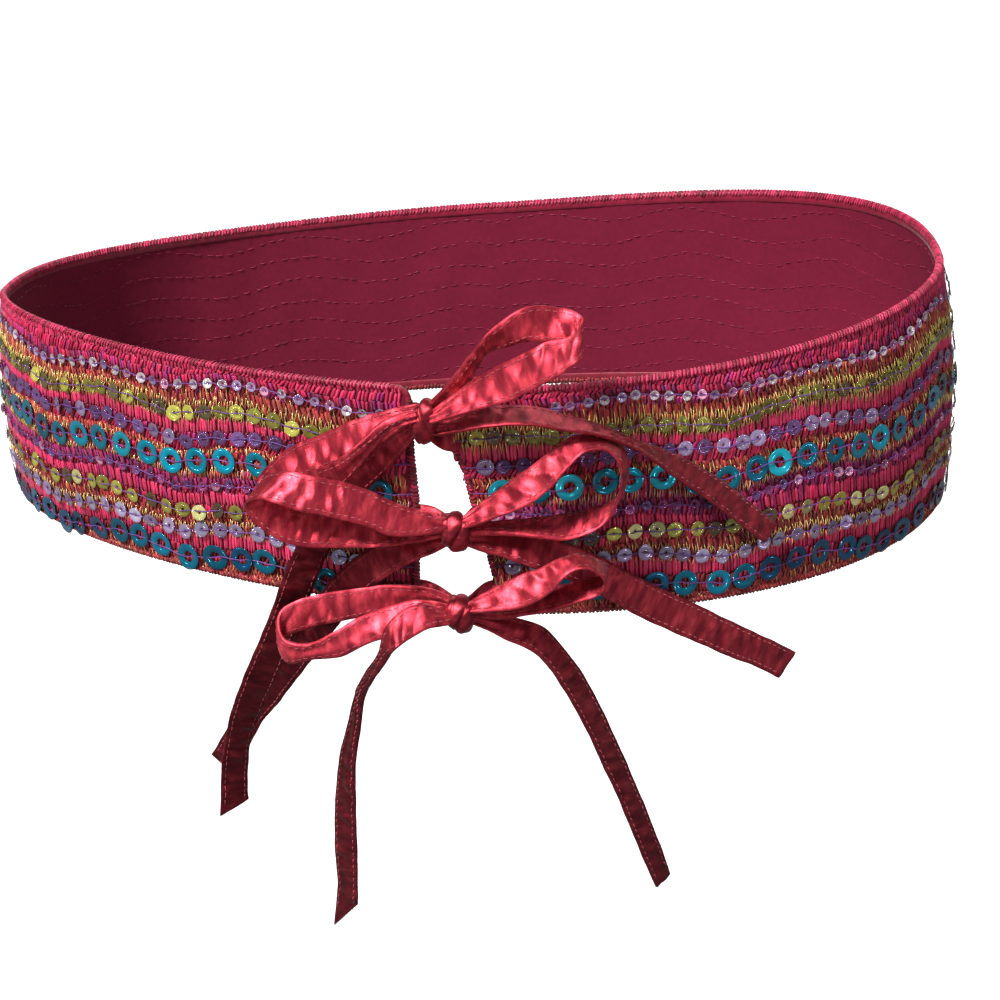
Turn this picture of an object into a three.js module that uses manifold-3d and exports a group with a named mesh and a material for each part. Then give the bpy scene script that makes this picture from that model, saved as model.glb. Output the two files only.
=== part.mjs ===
// Sequin tie belt: a curved, embroidered band worn round the hips, open at the front,
// where three satin ties bridge the gap, each in a bow with its two loops and two tails.
// Millimetres. +X is the wearer's left, -Y is the front, +Z is up. The origin is the middle
// of the ring that the band makes, at half its height.

import * as THREE from "three";
import { mergeVertices } from "three/addons/utils/BufferGeometryUtils.js";
import Module from "manifold-3d";

const wasm = await Module();
wasm.setup();

// Driving sizes of the band. Its plan is a rounded oval, fuller behind than in front.
const halfWidth = 165;
const halfDepth = 112;
const frontPower = 1.8;
const backPower = 2.4;

// Its height, which grows towards +X and towards both sides
const bandHeight = 75.3;
const tallerOnLeft = 5.3;
const tallerAtSides = 2.2;

// Its lean from upright at the sides, in degrees: inwards at the top and at the bottom, so
// that it bulges, and a little more outwards towards +X all the way down
const topLean = 10.7;
const bottomLean = -9.3;
const leftLean = 2.05;

// How its mid line rises, in degrees, and dips, in millimetres, round the ring
const backRise = 0.15;
const sideRise = 1.2;
const frontDrop = 1.65;
const twistDrop = 4.6;

// The wall, its thinner hems, the gap at seams and the round of the top front corners
const wall = 2.1;
const hemWall = 1.3;
const seamGap = 0.3;
const bandClearance = 0.45;
const cornerRadius = 5;

// The two front edges: x where the panel ends, by the share of the height from the top
const rightPanelEdge = [
  { down: 0.0, x: -10.3 },
  { down: 0.3, x: -10.1 },
  { down: 0.5, x: -9.0 },
  { down: 1.0, x: -9.8 },
];
const leftPanelEdge = [
  { down: 0.0, x: 1.8 },
  { down: 0.27, x: 2.0 },
  { down: 0.37, x: 5.4 },
  { down: 0.49, x: 7.2 },
  { down: 0.73, x: 12.0 },
  { down: 1.0, x: 16.6 },
];

// Ties: doubled ribbon, thicker where it is gathered narrow. The plane in which they fan
// out is tilted back from upright.
const clothThickness = 1.2;
const gatherThickness = 0.09;
const fanTilt = THREE.MathUtils.degToRad(21);
const ribbonWidth = 11;
const stepsPerRow = 4;

const radians = THREE.MathUtils.degToRad;
const fullTurn = Math.PI * 2;

function power(value, exponent) {
  return Math.sign(value) * Math.abs(value) ** exponent;
}

function lerpTable(table, key, value, column) {
  let i = 1;
  while (i < table.length - 1 && table[i][key] < value) i += 1;
  const a = table[i - 1];
  const b = table[i];
  const t = THREE.MathUtils.clamp((value - a[key]) / (b[key] - a[key]), 0, 1);
  return a[column] + (b[column] - a[column]) * t;
}

// The band's profile at one angle round the ring: how far a point lies outside the
// ring's mid line, and how high, by its share of the height from the top edge
function profile(angle, down) {
  const side = Math.sin(angle);
  const atSide = side * side;
  const lean0 = radians(topLean * atSide + leftLean * side);
  const lean1 = radians(bottomLean * atSide + leftLean * side);
  const leanAt = (share) => lean0 * (1 - share) + lean1 * share;
  const height = bandHeight + tallerOnLeft * side - tallerAtSides * Math.cos(2 * angle);
  const run = down - 0.5;
  const samples = [leanAt(0.5), leanAt(0.5 + run / 2), leanAt(down)];
  const weights = [1 / 6, 4 / 6, 1 / 6];
  let outward = 0;
  let drop = 0;
  for (let i = 0; i < 3; i += 1) {
    outward += weights[i] * Math.sin(samples[i]) * run * height;
    drop += weights[i] * Math.cos(samples[i]) * run * height;
  }
  return { outward, drop };
}

function exponentAt(angle) {
  return 2 / (Math.cos(angle) > 0 ? frontPower : backPower);
}

// A point of the band's outer face
function bandPoint(angle, down) {
  const exponent = exponentAt(angle);
  const { outward, drop } = profile(angle, down);
  const x = (halfWidth + outward) * power(Math.sin(angle), exponent);
  const y = -(halfDepth + outward) * power(Math.cos(angle), exponent);
  const tilt = Math.tan(radians(backRise)) * y + Math.tan(radians(sideRise)) * x;
  const wave = -frontDrop * Math.cos(2 * angle) - twistDrop * Math.sin(2 * angle);
  return new THREE.Vector3(x, y, -drop + tilt + wave);
}

// Length round the ring at half height, so that columns are evenly spaced
const ringSamples = 1440;
const halfway = 0.5;
const ringLengths = [{ length: 0, angle: 0 }];
for (let i = 1; i <= ringSamples; i += 1) {
  const angle = (fullTurn * i) / ringSamples;
  const step = bandPoint(angle, halfway).distanceTo(bandPoint(ringLengths[i - 1].angle, halfway));
  ringLengths.push({ length: ringLengths[i - 1].length + step, angle });
}
const ringLength = ringLengths[ringSamples].length;

function angleAtLength(length) {
  const wrapped = ((length % ringLength) + ringLength) % ringLength;
  const turns = Math.floor(length / ringLength);
  let low = 0;
  let high = ringSamples;
  while (high - low > 1) {
    const middle = (low + high) >> 1;
    if (ringLengths[middle].length <= wrapped) low = middle;
    else high = middle;
  }
  const a = ringLengths[low];
  const b = ringLengths[high];
  const share = (wrapped - a.length) / (b.length - a.length);
  return a.angle + (b.angle - a.angle) * share + turns * fullTurn;
}

// Outward direction of the ring, level, at one angle
function ringNormal(length, down) {
  const before = bandPoint(angleAtLength(length - 1), down);
  const after = bandPoint(angleAtLength(length + 1), down);
  return new THREE.Vector3(after.y - before.y, before.x - after.x, 0).normalize();
}

// The band's face in front: y at a given x and z, with z kept within the band's height.
// The angle follows from x, and the share of the height from z by Newton's steps.
const newtonSteps = 14;
const smallShare = 0.001;

function faceY(x, z) {
  let angle = 0;
  let down = halfway;
  for (let i = 0; i < newtonSteps; i += 1) {
    const reach = halfWidth + profile(angle, down).outward;
    angle = Math.asin(THREE.MathUtils.clamp(power(x / reach, frontPower / 2), -1, 1));
    const here = bandPoint(angle, down).z;
    const slope = (bandPoint(angle, down + smallShare).z - here) / smallShare;
    down = THREE.MathUtils.clamp(down - (here - z) / slope, 0, 1);
  }
  return bandPoint(angle, down).y;
}

// A closed geometry from rings of points: each ring joins the next, and each end is capped
// by a strip between the ring's first half and its second
function loft(rings) {
  const count = rings[0].length;
  const positions = [];
  const indices = [];
  for (const ring of rings) {
    for (const point of ring) positions.push(point.x, point.y, point.z);
  }
  for (let i = 0; i < rings.length - 1; i += 1) {
    for (let j = 0; j < count; j += 1) {
      const a = i * count + j;
      const b = i * count + ((j + 1) % count);
      const c = a + count;
      const d = b + count;
      indices.push(a, b, d, a, d, c);
    }
  }
  const last = (rings.length - 1) * count;
  for (let j = 0; j < count / 2 - 1; j += 1) {
    const [a, b, c, d] = [j, j + 1, count - 2 - j, count - 1 - j];
    indices.push(a, c, b, a, d, c);
    indices.push(last + a, last + b, last + c, last + a, last + c, last + d);
  }
  const geometry = new THREE.BufferGeometry();
  geometry.setAttribute("position", new THREE.Float32BufferAttribute(positions, 3));
  geometry.setIndex(indices);
  return facingOut(geometry);
}

function facingOut(geometry) {
  const position = geometry.attributes.position;
  const index = geometry.index.array;
  const a = new THREE.Vector3();
  const b = new THREE.Vector3();
  const c = new THREE.Vector3();
  let volume = 0;
  for (let i = 0; i < index.length; i += 3) {
    a.fromBufferAttribute(position, index[i]);
    b.fromBufferAttribute(position, index[i + 1]);
    c.fromBufferAttribute(position, index[i + 2]);
    volume += a.dot(b.cross(c));
  }
  if (volume < 0) {
    for (let i = 0; i < index.length; i += 3) {
      const swap = index[i + 1];
      index[i + 1] = index[i + 2];
      index[i + 2] = swap;
    }
  }
  return geometry;
}

function toSolid(geometry) {
  const bare = geometry.clone();
  for (const name of Object.keys(bare.attributes)) {
    if (name !== "position") bare.deleteAttribute(name);
  }
  const merged = mergeVertices(bare, 1e-3);
  return new wasm.Manifold(
    new wasm.Mesh({
      numProp: 3,
      vertProperties: new Float32Array(merged.attributes.position.array),
      triVerts: new Uint32Array(merged.index.array),
    }),
  );
}

// The largest body of what a cut leaves
function mainBody(solid) {
  return solid.decompose().sort((a, b) => b.volume() - a.volume())[0];
}

function toGeometry(solid) {
  const mesh = solid.getMesh();
  const geometry = new THREE.BufferGeometry();
  geometry.setAttribute("position", new THREE.BufferAttribute(new Float32Array(mesh.vertProperties), 3));
  geometry.setIndex(new THREE.BufferAttribute(new Uint32Array(mesh.triVerts), 1));
  return geometry;
}

// The band: one wall from the front edge at the wearer's left, round the back, to the one
// at the wearer's right. Its hems are thinner than the embroidered field, at the first and
// the last of its rows. `grow` swells it, to part other pieces from it.
const columnStep = 10.5;
const edgeColumns = [0, 0.4, 1.2, 2.4, 4.2];
const lastColumn = 5;
const wallRows = [0, 0.035, 0.14, 0.27, 0.37, 0.5, 0.73, 0.87, 0.965, 1];

function lengthAtAngle(angle) {
  const wrapped = ((angle % fullTurn) + fullTurn) % fullTurn;
  const row = lerpTable(ringLengths, "angle", wrapped, "length");
  return angle < 0 ? row - ringLength : row;
}

// Where a front edge lies along the ring, at a share of the height
function edgeLength(table, down) {
  const x = lerpTable(table, "down", down, "x");
  return lengthAtAngle(Math.asin(power(x / halfWidth, frontPower / 2)));
}

function cornerDrop(fromEdge) {
  const inside = Math.max(cornerRadius - fromEdge, 0);
  return cornerRadius - Math.sqrt(cornerRadius ** 2 - inside ** 2);
}

// Columns of the wall, each by its share of the way round and its distance from an end
function bandColumns() {
  const steps = Math.round(ringLength / columnStep);
  const columns = edgeColumns.map((fromEdge) => ({ share: 0, fromEdge }));
  for (let i = 1; i < steps; i += 1) columns.push({ share: i / steps, fromEdge: lastColumn });
  return columns.concat([...edgeColumns].reverse().map((fromEdge) => ({ share: 1, fromEdge })));
}

function bandGeometry(grow) {
  const rings = bandColumns().map(({ share, fromEdge }) => {
    const outer = [];
    const inner = [];
    for (const row of wallRows) {
      const drop = cornerDrop(fromEdge) / bandHeight;
      const down = drop + (1 - drop) * row;
      const start = edgeLength(leftPanelEdge, down) - grow + fromEdge;
      const end = ringLength + edgeLength(rightPanelEdge, down) + grow - fromEdge;
      const length = start + (end - start) * share;
      const isHem = row === 0 || row === 1;
      const thickness = isHem ? hemWall : wall;
      const sunk = (wall - thickness) / 2;
      const point = bandPoint(angleAtLength(length), down);
      const normal = ringNormal(length, down);
      point.z += isHem ? grow * (1 - 2 * row) : 0;
      outer.push(point.clone().addScaledVector(normal, grow - sunk));
      inner.push(point.clone().addScaledVector(normal, -grow - sunk - thickness));
    }
    return [...outer, ...inner.reverse()];
  });
  return loft(rings);
}

// A ribbon swept along a table of rows. The columns are x, z and how far out its middle lies
// in front of the band's face, then the lean and the turn of its width in the fan plane,
// in degrees, and its width. It is thicker where it is gathered narrow.
const tieColumns = ["x", "z", "out", "lean", "turn", "wide"];

// A Catmull-Rom curve through b and c, with a before them and d after them
function spline(a, b, c, d, t) {
  const linear = (c - a) * t;
  const square = (2 * a - 5 * b + 4 * c - d) * t ** 2;
  const cube = (3 * b - a - 3 * c + d) * t ** 3;
  return b + (linear + square + cube) / 2;
}

function rowsToPath(rows) {
  const stations = rows.map((row) => Object.fromEntries(tieColumns.map((name, i) => [name, row[i]])));
  const path = [];
  const at = (i) => stations[THREE.MathUtils.clamp(i, 0, stations.length - 1)];
  for (let i = 0; i < stations.length - 1; i += 1) {
    for (let k = 0; k < stepsPerRow; k += 1) {
      const point = {};
      for (const name of tieColumns) {
        point[name] = spline(at(i - 1)[name], at(i)[name], at(i + 1)[name], at(i + 2)[name], k / stepsPerRow);
      }
      path.push(point);
    }
  }
  path.push(at(stations.length - 1));
  return path;
}

function widthDirection(lean, turn) {
  const flat = Math.cos(radians(turn));
  const inPlane = Math.sin(radians(lean)) * flat;
  const toward = Math.sin(radians(turn));
  return new THREE.Vector3(
    Math.cos(radians(lean)) * flat,
    inPlane * Math.sin(fanTilt) - toward * Math.cos(fanTilt),
    inPlane * Math.cos(fanTilt) + toward * Math.sin(fanTilt),
  );
}

function ribbonGeometry(rows, endSlant = 0) {
  const path = rowsToPath(rows);
  const centres = path.map((p) => new THREE.Vector3(p.x, faceY(p.x, p.z) - p.out, p.z));
  const rings = path.map((p, i) => {
    const before = centres[Math.max(i - 1, 0)];
    const after = centres[Math.min(i + 1, centres.length - 1)];
    const along = after.clone().sub(before).normalize();
    const across = widthDirection(p.lean, p.turn);
    const normal = along.clone().cross(across).normalize();
    const thickness = clothThickness + gatherThickness * (ribbonWidth - p.wide);
    const slant = i === path.length - 1 ? endSlant : 0;
    const corner = (side, face) => centres[i].clone()
      .addScaledVector(across, (side * p.wide) / 2)
      .addScaledVector(normal, (face * thickness) / 2)
      .addScaledVector(along, side * slant);
    return [corner(-1, -1), corner(1, -1), corner(1, 1), corner(-1, 1)];
  });
  return loft(rings);
}

// A knot: the ribbon wrapped round the bow's middle, a barrel lying along X, with a pleat
// pressed in each side of its middle. It tapers to its ends by a share of its size.
const knotSides = 20;
const knotTaper = 0.2;
const pleatDepth = 0.35;
const knotStations = [
  { along: -1, pleat: 0 },
  { along: -0.55, pleat: pleatDepth },
  { along: 0, pleat: 0 },
  { along: 0.55, pleat: pleatDepth },
  { along: 1, pleat: 0 },
];

function knotGeometry(knot, grow) {
  const middleY = faceY(knot.x, knot.z) - knot.out;
  const rings = knotStations.map(({ along, pleat }) => {
    const swell = 1 - knotTaper * along * along;
    const deep = (knot.deep / 2 - pleat) * swell + grow;
    const tall = (knot.tall / 2 - pleat) * swell + grow;
    const x = knot.x + along * (knot.long / 2 + grow);
    const z = knot.z + knot.skew * along;
    const ring = [];
    for (let i = 0; i < knotSides; i += 1) {
      const angle = (fullTurn * i) / knotSides;
      ring.push(new THREE.Vector3(x, middleY - deep * Math.cos(angle), z + tall * Math.sin(angle)));
    }
    return ring;
  });
  return loft(rings);
}

// The three bows, from the top down. In their pieces' names left and right are as seen
// from the front, so that left lies at -X.
const bows = {
  top: {
    knot: { x: -5.6, z: 26.5, out: 6.8, long: 7, deep: 10, tall: 14, skew: 0.5 },
    strap_left: [
      [-13, 25, -1, -90, 0, 9],
      [-10.5, 25, -0.9, -90, 0, 9],
      [-8.5, 25.5, 0.4, -90, 0, 9],
      [-7, 26, 3.5, -90, 0, 8],
    ],
    strap_right: [
      [6, 19, -1, -90, 0, 9],
      [2.5, 19, -1, -90, 0, 9],
      [-0.5, 19.5, 0, -90, 0, 8.5],
      [-3, 21.5, 2, -90, 0, 7],
      [-4.5, 23.5, 4.5, -90, 0, 5],
    ],
    loop_left: [
      [-7.5, 30, 6.5, -85, 15, 3.5],
      [-16, 26, 6.5, -65, 20, 8],
      [-26.5, 20.5, 6.5, -65, 10, 10.5],
      [-37, 15, 6, -70, 10, 10.5],
      [-46, 10.5, 6, -70, 10, 10.5],
      [-53.5, 4, 7, -65, 10, 10],
      [-57, -0.6, 8.3, -70, 15, 9.5],
      [-51, 0.3, 9.8, -75, 5, 10],
      [-40.5, 5.2, 11.2, -65, 5, 9],
      [-31, 11.5, 13.5, -65, -30, 8],
      [-23.5, 19.5, 13, -55, -50, 5.5],
      [-15.5, 27, 12, -55, -45, 4],
      [-7.5, 29.5, 10, -80, -25, 3],
    ],
    loop_right: [
      [-4, 30, 6.5, -60, -25, 3.5],
      [4.6, 38.3, 8, -55, -45, 6.5],
      [10.6, 47, 9, -55, -55, 6.5],
      [14, 51.5, 10, -70, -55, 7.5],
      [19.5, 55, 11, -80, -40, 9.5],
      [26, 58, 12, -90, -20, 10.5],
      [34, 57.5, 13, -95, 0, 10.5],
      [40, 57, 15.5, -95, 0, 9],
      [42, 55, 19, -95, 0, 9],
      [40, 52.5, 22, -75, 0, 8],
      [33.5, 49.5, 21, -70, 0, 10.5],
      [26.5, 45.5, 19, -70, 5, 11],
      [18.5, 41, 16, -65, 10, 11],
      [9, 36, 12.5, -75, 20, 9],
      [-3.5, 28.5, 10, -80, 25, 3.5],
    ],
    tail_left: [
      [-7.5, 24.5, 5, -80, -15, 4.5],
      [-14, 19, 4.5, -55, -30, 7],
      [-21.5, 11, 4, -45, -30, 9],
      [-29.5, 3.5, 4, -35, -30, 10],
      [-36.5, -7.5, 4.5, -25, -30, 11],
      [-42.5, -18.5, 5, -10, -30, 11],
      [-47.5, -30, 6.5, -5, -30, 11],
      [-53, -44.2, 7.5, -15, -30, 10.5],
      [-59.5, -59.2, 7.8, -20, -35, 11],
      [-66, -74.4, 7, -15, -40, 11],
      [-71, -87.7, 6, -5, -40, 10],
      [-73.5, -100.5, 5, 5, -40, 10.5],
      [-74.5, -114.5, 5, 5, -35, 11],
    ],
    tail_right: [
      [-3.5, 24, 6.5, -90, 25, 4],
      [4.5, 25.5, 7, -85, 45, 6.5],
      [14, 28.5, 9, -90, 50, 9.5],
      [26.5, 29, 11, -95, 55, 10],
      [36.5, 26.5, 12, -100, 60, 9.5],
      [46.5, 23.5, 12, -105, 68, 9],
      [55.5, 18.5, 11, -115, 70, 6.5],
      [63, 13.5, 9, -115, 65, 9.5],
      [71.5, 6.5, 7, -115, 50, 10],
      [80, -0.5, 6, -115, 45, 10.5],
      [88.5, -8.5, 6, -130, 45, 10.5],
      [95, -15, 6, -130, 45, 10.5],
      [100, -20, 6, -145, 45, 10],
    ],
  },
  middle: {
    knot: { x: 3, z: -8.7, out: 7.5, long: 8.8, deep: 10, tall: 12.5, skew: -0.4 },
    strap_left: [
      [-13, -7, -1, -90, 0, 7.5],
      [-10, -7, -1, -90, 0, 7.5],
      [-5, -7.3, -0.3, -90, 0, 7],
      [-1, -8, 2, -90, 0, 6],
      [3, -8.7, 5.5, -90, 0, 5],
    ],
    strap_right: [
      [15, -7, -1, -90, 0, 7.5],
      [10, -7, -1, -90, 0, 7.5],
      [8, -7.3, -0.2, -90, 0, 7],
      [6, -8, 2.5, -90, 0, 6],
      [3, -8.7, 5.5, -90, 0, 5],
    ],
    loop_left: [
      [0.5, -8.5, 6.5, -90, 15, 4],
      [-10.5, -8.5, 8, -95, 30, 9],
      [-18, -8.5, 9.5, -90, 25, 10],
      [-27.5, -8.5, 10.5, -90, 10, 10.5],
      [-38, -8.2, 12.8, -90, 10, 11],
      [-47.5, -6.8, 16.2, -95, 8, 10.5],
      [-55, -2.1, 18.2, -105, 10, 10],
      [-57.5, 4.8, 20.6, -125, 10, 10],
      [-51, 8.8, 22.8, -125, 10, 10.5],
      [-41, 7, 22.3, -105, 0, 11],
      [-31.5, 5, 20, -105, 0, 11],
      [-22.5, 2, 18, -110, 10, 10.5],
      [-14.5, -2.5, 15, -105, 15, 10],
      [-6.5, -4.5, 12, -100, 20, 7.5],
      [0.5, -5.5, 10, -90, 15, 4],
    ],
    loop_right: [
      [5.5, -5.5, 9, -90, 25, 4],
      [15, 0.5, 11, -70, 40, 9],
      [23, 5.5, 13, -60, 35, 11],
      [29.5, 10.5, 14, -55, 35, 11],
      [35, 15.5, 14, -55, 45, 10.5],
      [41, 20, 14, -65, 50, 9.5],
      [47.5, 20, 14, -80, 60, 8.5],
      [52.5, 17, 14, -110, 68, 10.5],
      [54.5, 11.5, 14, -115, 70, 11],
      [54, 4.5, 13, -120, 65, 10],
      [50.5, -2, 12, -95, 60, 9.5],
      [44.5, -5.5, 11, -80, 50, 11],
      [36.5, -7.5, 10, -85, 45, 11],
      [27, -7.5, 9, -95, 50, 8.5],
      [16.5, -7.5, 8, -90, 50, 5.5],
      [5.5, -8.5, 7, -90, 30, 3.5],
    ],
    tail_left: [
      [0.5, -12, 5.5, -85, 10, 3.5],
      [-8, -15, 4, -65, 30, 8],
      [-15.5, -18, 3.5, -60, 20, 9.5],
      [-23.5, -23, 3, -60, 10, 10.5],
      [-31.5, -30.5, 3, -50, 10, 11],
      [-39.5, -41, 3, -40, 10, 11],
      [-47, -52.2, 1.2, -35, 5, 11],
      [-54.5, -62.9, -1.2, -35, 0, 11],
      [-62, -75.4, -4, -25, 10, 10.5],
      [-69, -87.2, -5.5, -15, 20, 10],
      [-77, -103.3, -6, -25, 15, 10.5],
    ],
    tail_right: [
      [5.5, -12.2, 5.5, -90, 15, 3.5],
      [16, -14, 5, -95, 35, 8.5],
      [26, -16.3, 5.8, -105, 30, 11],
      [35, -20.5, 4, -110, 20, 11],
      [44.5, -25.5, 4, -115, 20, 11],
      [54, -32, 4, -115, 20, 11],
      [64, -39, 4, -115, 10, 11],
      [76.5, -47, 4, -110, 10, 11],
      [89.5, -56, 4, -115, 10, 10.5],
      [99, -62.5, 4, -115, 10, 10],
      [106.5, -68.5, 4, -110, 10, 10],
    ],
  },
  bottom: {
    knot: { x: 4, z: -35.5, out: 8.5, long: 8.4, deep: 12, tall: 12, skew: -0.5 },
    strap_left: [
      [-13, -33, -1, -90, 0, 9],
      [-10, -33, -1, -90, 0, 9],
      [-5, -33.5, 0, -90, 0, 8.5],
      [2, -34.5, 4.5, -90, 0, 5],
    ],
    strap_right: [
      [20, -33, -1, -90, 0, 9],
      [15.5, -33, -1, -90, 0, 9],
      [11, -33.5, 0.2, -90, 0, 8.5],
      [6, -34.5, 4.5, -90, 0, 5],
    ],
    loop_left: [
      [1.5, -33.5, 5.5, -90, -15, 3.5],
      [-7, -31.5, 5.5, -85, -30, 7],
      [-17.5, -31.6, 6.5, -80, -30, 8.5],
      [-28, -33.9, 7.6, -85, -20, 9.5],
      [-38, -37, 7, -80, -20, 10],
      [-45.5, -39, 9, -75, -20, 10],
      [-53, -42.5, 13, -95, -20, 9.5],
      [-51, -48.5, 17, -85, -30, 9.5],
      [-43, -47.5, 18, -80, -30, 6],
      [-34, -44.5, 17, -70, -20, 8.5],
      [-26, -40, 15, -70, 0, 8.5],
      [-17, -37, 12.5, -70, 20, 9.5],
      [-8, -34, 10.5, -80, 20, 7],
      [1.5, -34.5, 9, -90, 15, 3.5],
    ],
    loop_right: [
      [6.5, -33, 10, -90, 20, 3.5],
      [15, -29.5, 12, -80, 25, 8],
      [22.5, -26.5, 14, -80, 20, 10],
      [30, -22.6, 16, -65, 35, 10],
      [35.5, -18.4, 16.5, -65, 50, 9],
      [41, -16.6, 16.3, -70, 60, 9],
      [46, -18.8, 15.7, -80, 65, 10],
      [49, -22.6, 14.6, -95, 65, 11],
      [47, -26.2, 13.6, -90, 60, 10.5],
      [40.5, -28.3, 12.4, -80, 50, 9],
      [32, -31, 10.2, -85, 40, 8.5],
      [23.5, -33.6, 8, -85, 35, 7],
      [15, -35.5, 6.5, -85, 30, 5.5],
      [6.5, -35.5, 6.5, -90, 20, 3],
    ],
    tail_left: [
      [1.5, -36, 12.3, -85, 20, 3],
      [-5.5, -33.5, 15.5, -70, 20, 8],
      [-11.5, -35.5, 17.5, -65, 20, 9],
      [-16.5, -39.4, 20.6, -55, 40, 8.5],
      [-19.5, -46.4, 19.5, -40, 60, 5.5],
      [-24.5, -55.5, 15, -40, 65, 7],
      [-28, -63.5, 12, -30, 60, 5],
      [-30.5, -75, 9, -10, 55, 7],
      [-33.5, -88.5, 7, -5, 50, 8.5],
      [-35, -104.5, 6, 0, 45, 10],
      [-35.5, -120.5, 6, 0, 40, 10],
      [-35.5, -135.5, 6, 0, 45, 10],
      [-36.5, -146.5, 6, 0, 40, 10],
    ],
    tail_right: [
      [6.5, -38.5, 5.5, -95, 10, 3],
      [12.5, -40.8, 3.8, -110, 20, 5],
      [20, -43.5, 3.5, -120, 30, 8.5],
      [27.5, -47, 4, -125, 40, 10],
      [33.5, -54, 4.5, -140, 45, 9.5],
      [39, -63, 5, -150, 45, 10],
      [45, -76, 5, -160, 45, 9.5],
      [50.5, -90, 5, -160, 45, 9.5],
      [56, -104.5, 5, -160, 45, 9],
      [61.5, -120.5, 5, -160, 45, 9],
      [67, -137, 5, -160, 50, 8.5],
    ],
  },
};

// How far each tail's end is cut on the slant, half of it at each edge
const endSlants = {
  top: { tail_left: -2.5, tail_right: 1.5 },
  middle: { tail_left: 1.5, tail_right: -1.5 },
  bottom: { tail_left: -4.5, tail_right: 1 },
};

const embroidered = new THREE.MeshStandardMaterial({ color: 0x8c2436, roughness: 0.75, metalness: 0 });
const satin = new THREE.MeshStandardMaterial({ color: 0x9c1f30, roughness: 0.45, metalness: 0 });

const belt = new THREE.Group();

function addMesh(name, geometry, material) {
  const mesh = new THREE.Mesh(geometry, material);
  mesh.name = name;
  belt.add(mesh);
}

addMesh("band", bandGeometry(0), embroidered);

const bandRoom = toSolid(bandGeometry(bandClearance));
for (const [place, bow] of Object.entries(bows)) {
  const knotRoom = toSolid(knotGeometry(bow.knot, seamGap));
  addMesh(`${place}_knot`, knotGeometry(bow.knot, 0), satin);
  for (const [piece, rows] of Object.entries(bow)) {
    if (piece === "knot") continue;
    let solid = toSolid(ribbonGeometry(rows, endSlants[place][piece] ?? 0)).subtract(knotRoom);
    if (piece.startsWith("strap")) solid = solid.subtract(bandRoom);
    addMesh(`${place}_${piece}`, toGeometry(mainBody(solid)), satin);
  }
}

export default belt;
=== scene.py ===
import math

import bpy
import numpy as np
from mathutils import Matrix, Vector


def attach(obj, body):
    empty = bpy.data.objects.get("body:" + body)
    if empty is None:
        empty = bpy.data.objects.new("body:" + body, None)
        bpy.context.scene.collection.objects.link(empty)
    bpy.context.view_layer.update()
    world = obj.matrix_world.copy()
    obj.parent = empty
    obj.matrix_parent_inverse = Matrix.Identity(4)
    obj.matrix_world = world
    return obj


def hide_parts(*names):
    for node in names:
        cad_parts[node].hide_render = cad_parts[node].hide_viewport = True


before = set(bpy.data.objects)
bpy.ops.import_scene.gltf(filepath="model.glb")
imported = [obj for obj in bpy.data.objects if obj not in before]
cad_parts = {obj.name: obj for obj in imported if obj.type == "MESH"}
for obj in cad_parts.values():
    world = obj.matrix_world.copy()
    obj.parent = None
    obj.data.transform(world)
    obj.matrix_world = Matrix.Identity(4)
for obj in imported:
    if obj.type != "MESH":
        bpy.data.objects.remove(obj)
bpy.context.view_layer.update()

# Shapes are worked out in millimetres, in the frame's own axes, and made in metres.
# +X is the picture's right, -Y is the front, +Z is up.
MM = 0.001
TURN = 2 * math.pi
rng = np.random.default_rng(11)


def linear(red, green, blue):
    """A colour given as 0 to 255 on screen, as the linear values that a shader takes."""
    c = np.array([red, green, blue], float) / 255
    return np.where(c <= 0.04045, c / 12.92, ((c + 0.055) / 1.055) ** 2.4)


def unit(vectors):
    return vectors / np.linalg.norm(vectors, axis=-1, keepdims=True)


def table_rows(columns, table):
    return [dict(zip(columns, values)) for values in table]


def spaced(start, end, pitch, jitter, first=0.0):
    """Places at even steps, each moved at random by up to a share of the pitch."""
    count = int((end - start) / pitch)
    return start + (np.arange(count) + first + rng.uniform(-jitter, jitter, count)) * pitch


# Camera and lights. Azimuths are from the front, towards the picture's right.
CAMERA = {"azimuth": 4.0, "elevation": 20.93, "roll": -1.0, "distance": 900.0, "focal_px": 2545.6}
AIM = Vector((8.5, 0.0, -44.1))
IMAGE_PX = 1000
SENSOR = 36.0
NEAREST_SEEN, FARTHEST_SEEN = 0.05, 2000.0
SUN_DISTANCE, GLINT_DISTANCE, GLINT_SIZE = 2.0, 1.5, 0.07
WORLD_STRENGTH = 0.22
SUN_COLUMNS = ("name", "azimuth", "elevation", "spread", "energy", "colour")
SUNS = (
    ("key", -42, 50, 16, 6.0, (1.0, 0.98, 0.96)),
    ("fill", 48, 36, 30, 0.3, (0.96, 0.98, 1.0)),
    ("behind", 165, 42, 40, 1.0, (1.0, 0.99, 0.98)),
)
# Small bright lamps for the glints on sequins and satin: azimuth, elevation, power
GLINTS = (
    (-62, -8, 0.7), (-36, -26, 0.7), (-22, 12, 0.5), (-4, -18, 0.5), (14, -4, 0.5),
    (34, -24, 0.6), (44, 10, 0.6), (66, -14, 0.5), (84, 8, 0.5),
)


def direction(azimuth, elevation):
    azimuth, elevation = math.radians(azimuth), math.radians(elevation)
    flat = math.cos(elevation)
    return Vector((math.sin(azimuth) * flat, -math.cos(azimuth) * flat, math.sin(elevation)))


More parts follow.
